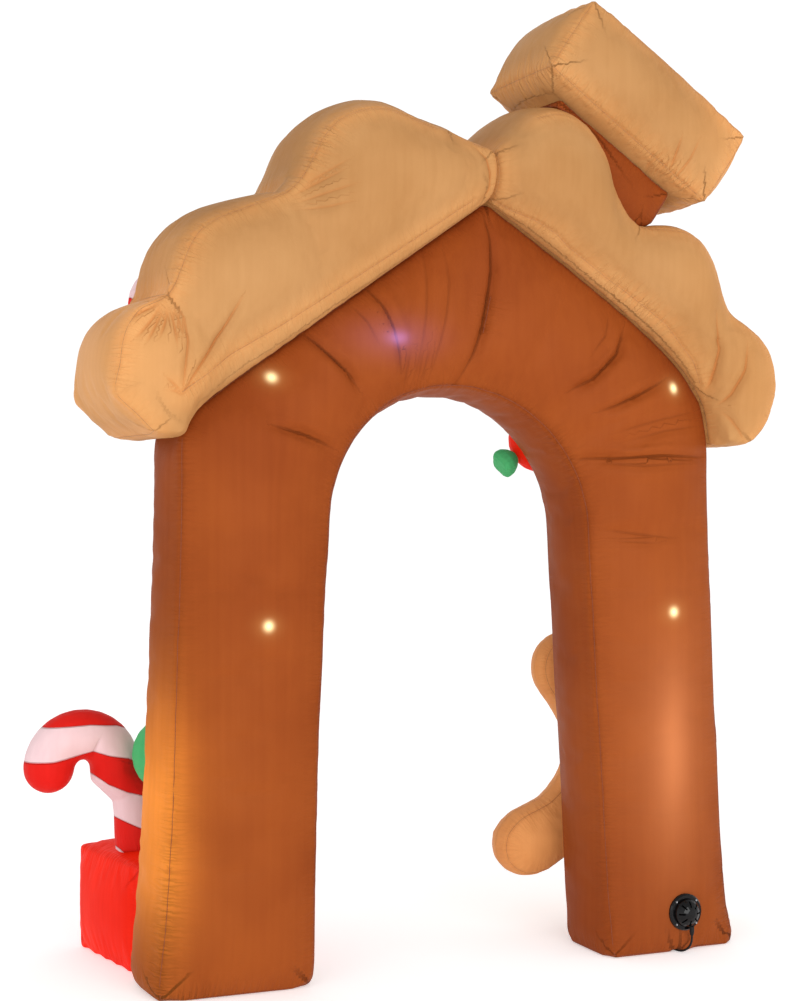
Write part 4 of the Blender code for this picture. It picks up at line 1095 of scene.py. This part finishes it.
def strip_parts(tree, number):
    """Where the white strips are, and a narrow line at each border between two strips."""
    white = maths(tree, "GREATER_THAN", maths(tree, "MODULO", number, 2.0), 1.0)
    share = maths(tree, "FRACT", maths(tree, "ADD", number, 0.5))
    edge = maths(tree, "ABSOLUTE", maths(tree, "SUBTRACT", share, 0.5))
    return white, ranged(tree, edge, 0.008, 0.030, 1.0, 0.0)


def pool_glow(tree, place, centre, reach, level):
    """How brightly one pool of light shines at each place."""
    made = place_group(tree, lamp_pool, Place=place, Centre=centre, Reach=reach, Level=level)
    return made.outputs["Glow"]


def shine_through(tree, place, tone, seam_line_and_crease_shade, lamp, pools, ambient, rim):
    """The light that comes through the cloth: all pools, the lit rim beside the seams and an even share."""
    parts = [pool_glow(tree, place, *pool) for pool in pools]
    if rim:
        parts.append(ranged(tree, read(tree, "seam_gap"), 0.0, RIM_REACH, rim, 0.0))
    if not parts:
        return mixed(tree, 1.0, lamp, ranged(tree, tone, 0.0, 1.0, ambient * 1.2, ambient * 0.8), "MULTIPLY")
    glow = parts[0]
    for part in parts[1:]:
        glow = maths(tree, "ADD", glow, part)
    glow = maths(tree, "ADD", glow, ambient)
    # Less light shines through in the seam lines and in the painted shade of fold and pucker bottoms.
    lit = maths(tree, "MULTIPLY", glow, ranged(tree, seam_line_and_crease_shade, 0.0, 1.0, 1.0, 0.35))
    lit = maths(tree, "MULTIPLY", lit, ranged(tree, tone, 0.0, 1.0, 1.12, 0.88))
    return mixed(tree, 1.0, lamp, lit, "MULTIPLY")


def cloth(name, plain, thick, lamp, pools=(), spots=(), strips=None, ambient=0.0, seam_and_shade_colour=None, rim=0.0):
    """A taffeta finish: plain and thick are its colours, lamp is the colour that shines through."""
    made, tree, shader = new_material(name)
    place = add(tree, "ShaderNodeTexCoord").outputs["Object"]
    weave = place_group(tree, taffeta, Place=place)
    tone = weave.outputs["Tone"]
    marks = place_group(
        tree, seam_marks, Gap=read(tree, "seam_gap"), Run=read(tree, "seam_run"),
        Fold_gap=read(tree, "fold_side_gap"), Fold_depth=read(tree, "fold_depth"),
        Pull=read(tree, "seam_pull"),
    )
    seam_line_and_crease_shade = marks.outputs["Seam line and crease shade"]
    height = maths(tree, "ADD", weave.outputs["Height"], marks.outputs["Height"])
    base = mixed(tree, tone, plain, thick)
    shine = shine_through(tree, place, tone, seam_line_and_crease_shade, lamp, pools, ambient, rim)
    if strips:
        white, border = strip_parts(tree, read(tree, "strip"))
        base = mixed(tree, white, base, mixed(tree, tone, *strips))
        base = mixed(tree, maths(tree, "MULTIPLY", border, 0.45), base, BORDER_RED)
        shine = mixed(tree, 1.0, shine, mixed(tree, white, RED_SHINE, WHITE_SHINE), "MULTIPLY")
        height = maths(tree, "SUBTRACT", height, maths(tree, "MULTIPLY", border, 0.8))
    for centre, reach, level, tint in spots:
        spot = mixed(tree, 1.0, tint, pool_glow(tree, place, centre, reach, level), "MULTIPLY")
        shine = mixed(tree, 1.0, shine, spot, "ADD")
    # The seam marks mix towards this darker colour: the seam line's own colour, and painted shade in fold and
    # pucker bottoms.
    seam_and_shade_colour = seam_and_shade_colour or tuple(v * SEAM_AND_SHADE_SHARE for v in thick[:3]) + (1.0,)
    tree.links.new(mixed(tree, seam_line_and_crease_shade, base, seam_and_shade_colour), shader.inputs["Base Color"])
    tree.links.new(shine, shader.inputs["Emission Color"])
    shader.inputs["Emission Strength"].default_value = 1.0
    relief = add(tree, "ShaderNodeBump")
    relief.inputs["Strength"].default_value = 1.0
    relief.inputs["Distance"].default_value = RELIEF
    tree.links.new(height, relief.inputs["Height"])
    tree.links.new(relief.outputs[0], shader.inputs["Normal"])
    rough = ranged(tree, tone, 0.0, 1.0, ROUGHNESS - 0.06, ROUGHNESS + 0.08)
    tree.links.new(rough, shader.inputs["Roughness"])
    shader.inputs["Sheen Weight"].default_value = SHEEN
    shader.inputs["Sheen Roughness"].default_value = 0.35
    shader.inputs["Sheen Tint"].default_value = (*plain[:3], 1.0)
    shader.inputs["Specular IOR Level"].default_value = 0.04
    print("finish:", name, "nodes:", len(tree.nodes))
    return made


def at(x, y, z):
    """A place beside the middle of the doorway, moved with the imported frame."""
    return (x + SHIFT.x, y + SHIFT.y, z)


# %% [markdown]
# ### Brown cloth
# The left leg glows along its outer wall and the right leg in a tall band on its back, where a lamp hangs close
# to the cloth. Four small warm lamps and a faint violet one show as bright spots. The icing's cloth is thinner
# and glows faintly beside its seams.

# %% The arch's finish
WARM = (1.0, 0.62, 0.20, 1.0)
CREAM = (1.0, 0.88, 0.46, 1.0)
VIOLET = (0.62, 0.36, 1.0, 1.0)
PEACH = (1.0, 0.40, 0.16, 1.0)
LAMP_SPOTS = ((-0.569, 1.601), (-0.582, 0.958), (0.630, 1.598), (0.626, 0.965))
spots = []
for x, z in LAMP_SPOTS:
    spots.append((at(x, -0.19, z), (0.0125, 0.05, 0.0125), 1.7, CREAM))
    spots.append((at(x, -0.19, z), (0.036, 0.10, 0.030), 0.14, WARM))
spots.append((at(-0.228, -0.2, 1.711), (0.030, 0.08, 0.018), 0.30, VIOLET))
spots.append((at(-0.228, -0.2, 1.711), (0.11, 0.12, 0.050), 0.08, VIOLET))
for reach, level in (((0.20, 0.20, 0.42), 0.07), ((0.090, 0.20, 0.32), 0.20), ((0.045, 0.20, 0.18), 0.17)):
    spots.append((at(0.625, -0.18, 0.58), reach, level, PEACH))
brown = cloth(
    "brown_taffeta", colour(148, 72, 28), colour(132, 60, 23), colour(255, 160, 60),
    [
        (at(-0.850, 0.0, 0.46), (0.065, 0.50, 0.30), 0.66),
        (at(-0.74, -0.16, 0.55), (0.14, 0.30, 0.60), 0.055),
    ],
    spots=spots,
)
icing = cloth(
    "icing_taffeta", colour(176, 131, 84), colour(160, 114, 68), colour(255, 170, 95),
    [
        (at(-0.93, 0.0, 1.62), (0.13, 0.40, 0.17), 0.24),
        (at(-0.90, 0.0, 1.90), (0.12, 0.40, 0.14), 0.12),
        (at(0.92, 0.0, 1.62), (0.16, 0.40, 0.26), 0.20),
        (at(0.70, 0.0, 1.95), (0.10, 0.40, 0.14), 0.10),
        (at(0.80, 0.0, 2.36), (0.12, 0.40, 0.16), 0.22),
    ],
    # A darker orange for the icing's seam lines and for the painted shade in its folds and puckers.
    ambient=0.045, rim=0.12, seam_and_shade_colour=colour(176, 96, 40),
)
print("lamp spots:", len(LAMP_SPOTS))

# %% The small chambers' finishes
red = cloth("red_taffeta", colour(222, 34, 14), colour(208, 26, 10), colour(255, 45, 14), ambient=0.20)
green = cloth("green_taffeta", colour(84, 172, 108), colour(58, 152, 92), colour(60, 220, 140), ambient=0.09)
striped = cloth(
    "striped_taffeta", colour(212, 28, 24), colour(196, 20, 16), (1.0, 1.0, 1.0, 1.0),
    strips=(colour(228, 197, 200), colour(214, 178, 182)), ambient=0.05,
)
ginger = cloth(
    "ginger_taffeta", colour(212, 146, 88), colour(196, 126, 70), colour(255, 170, 95), ambient=0.05
)


# %% [markdown]
# ### Welts, plastic, rubber and metal
# The welts take a darker tone of their cloth. The intake is glossy black plastic, the lead is dull rubber, the
# screws are steel and the blades are brushed brass.

# %% The other finishes
def plain_finish(
    name, first, second, roughness, metallic=0.0, coat=0.0, scale=40.0, bump=0.0002, stretch=(1, 1, 1),
    specular=0.5,
):
    """A finish whose colour, roughness and relief vary with one noise."""
    made, tree, shader = new_material(name)
    place = add(tree, "ShaderNodeTexCoord").outputs["Object"]
    turned = add(tree, "ShaderNodeMapping")
    turned.inputs["Scale"].default_value = stretch
    tree.links.new(place, turned.inputs[0])
    grain = add(tree, "ShaderNodeTexNoise")
    grain.inputs["Scale"].default_value = scale
    grain.inputs["Detail"].default_value = 4.0
    tree.links.new(turned.outputs[0], grain.inputs["Vector"])
    tree.links.new(mixed(tree, grain.outputs[0], first, second), shader.inputs["Base Color"])
    rough = ranged(tree, grain.outputs[0], 0.3, 0.7, roughness * 0.8, roughness * 1.25)
    tree.links.new(rough, shader.inputs["Roughness"])
    relief = add(tree, "ShaderNodeBump")
    relief.inputs["Strength"].default_value = 0.6
    relief.inputs["Distance"].default_value = bump
    tree.links.new(grain.outputs[0], relief.inputs["Height"])
    tree.links.new(relief.outputs[0], shader.inputs["Normal"])
    shader.inputs["Metallic"].default_value = metallic
    shader.inputs["Specular IOR Level"].default_value = specular
    shader.inputs["Coat Weight"].default_value = coat
    shader.inputs["Coat Roughness"].default_value = 0.08
    print("finish:", name)
    return made


brown_welt = plain_finish("brown_welt", colour(136, 62, 26), colour(116, 50, 20), 0.6, scale=300.0)
icing_welt = plain_finish("icing_welt", colour(184, 132, 82), colour(164, 112, 66), 0.6, scale=300.0)
ginger_welt = plain_finish("ginger_welt", colour(176, 108, 60), colour(150, 88, 46), 0.6, scale=300.0)
gloss_black = plain_finish(
    "gloss_black_plastic", colour(12, 11, 12), colour(6, 6, 7), 0.12,
    coat=0.06, scale=30.0, bump=0.00005, specular=0.2,
)
rubber = plain_finish(
    "lead_rubber_black", colour(24, 23, 24), colour(14, 14, 14), 0.55, scale=220.0, specular=0.2
)
brass = plain_finish(
    "blade_brass", colour(214, 182, 110), colour(190, 156, 88), 0.25,
    metallic=1.0, scale=90.0, stretch=(1, 12, 1),
)
steel = plain_finish(
    "screw_steel", colour(170, 170, 172), colour(120, 120, 124), 0.3, metallic=1.0, scale=200.0
)

# %% Put each finish on its pieces
FINISHES = (
    (brown, "brown_cloth", ("arch_cloth", "chimney_stack_cloth")),
    (icing, "icing_cloth", ("icing_left", "icing_right", "chimney_cap_cloth")),
    (red, "red_cloth", ("gift_box_cloth", "wrapped_sweet_cloth")),
    (striped, "red_cloth", ("candy_cane_cloth",)), (striped, "mint_cloth", ("peppermint_cloth",)),
    (green, "green_cloth", ("gumdrop_cloth", "sweet_end_lower", "sweet_end_upper")),
    (ginger, "biscuit_cloth", ("biscuit_cloth",)),
    (brown_welt, "brown_cloth", ("arch_welts", "chimney_stack_welts")),
    (icing_welt, "icing_cloth", ("icing_left_welts", "icing_right_welts", "chimney_cap_welts")),
    (ginger_welt, "biscuit_cloth", ("biscuit_welts",)), (gloss_black, "black_plastic", ("plug_body",)),
    (rubber, "lead_rubber", ("blower_lead",)),
    (steel, "plug_metal", tuple(f"intake_screw_{i + 1}" for i in range(4))),
)
for finish, slot, names in FINISHES:
    for name in names:
        piece = bpy.data.objects[name]
        piece.data.materials.clear()
        piece.data.materials.append(finish)
for node, finish in (
    ("blower_flange", gloss_black), ("blower_dome", gloss_black), ("lead_gland", rubber),
    ("plug_blade_1", brass), ("plug_blade_2", brass),
):
    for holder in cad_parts[node].material_slots:
        holder.material = finish
print("finished pieces:", sum(len(names) for _, _, names in FINISHES))

# %% [markdown]
# ## Floor and light
# A pale floor and a pale surrounding keep all the attention on the cloth. The surrounding is brightest at eye
# height and darker overhead, so the tops of the slopes are a little darker than their sides. Two wide soft
# lamps stand in front. The floor gives off a little light of its own, as a lit studio floor does.

# %% The floor
bpy.ops.object.select_all(action="DESELECT")
bpy.ops.mesh.primitive_plane_add(size=40.0, location=(0, 0, -0.0005))
floor = bpy.context.object
floor.name = "floor"
bpy.ops.object.transform_apply(location=True, rotation=True, scale=True)
floor_finish, floor_tree, floor_shader = new_material("pale_floor")
floor_place = add(floor_tree, "ShaderNodeTexCoord").outputs["Object"]
floor_noise = add(floor_tree, "ShaderNodeTexNoise")
floor_noise.inputs["Scale"].default_value = 3.0
floor_tree.links.new(floor_place, floor_noise.inputs["Vector"])
floor_tree.links.new(
    mixed(floor_tree, floor_noise.outputs[0], (0.95, 0.95, 0.95, 1.0), (0.97, 0.97, 0.97, 1.0)),
    floor_shader.inputs["Base Color"],
)
floor_shader.inputs["Roughness"].default_value = 0.9
floor_shader.inputs["Emission Color"].default_value = (1.0, 1.0, 1.0, 1.0)
floor_shader.inputs["Emission Strength"].default_value = 0.36
floor.data.materials.append(floor_finish)
print("floor size 40 m")


# %% The lights
def soft_lamp(name, place, aim, size, power, tint=(1.0, 1.0, 1.0)):
    """A wide square lamp at a place, turned towards the aim."""
    bpy.ops.object.light_add(type="AREA", location=place)
    lamp = bpy.context.object
    lamp.name = name
    lamp.data.size = size
    lamp.data.energy = power
    lamp.data.color = tint
    lamp.rotation_euler = (Vector(aim) - Vector(place)).to_track_quat("-Z", "Y").to_euler()
    return lamp


soft_lamp("key", (0.2, -7.2, 1.6), (0, 0, 1.3), 4.0, 215)
soft_lamp("fill", (-5.0, -4.0, 2.0), (0, 0, 1.3), 3.5, 40)
world = bpy.data.worlds.new("pale_room")
world.use_nodes = True
room = world.node_tree
room.nodes["Background"].inputs["Color"].default_value = (1.0, 1.0, 1.0, 1.0)
look = add(room, "ShaderNodeSeparateXYZ")
room.links.new(add(room, "ShaderNodeTexCoord").outputs["Generated"], look.inputs[0])
brightness = ranged(room, look.outputs[2], 0.25, 1.0, 1.06, 0.55)
room.links.new(brightness, room.nodes["Background"].inputs["Strength"])
bpy.context.scene.world = world
bpy.context.scene.view_settings.view_transform = "Standard"
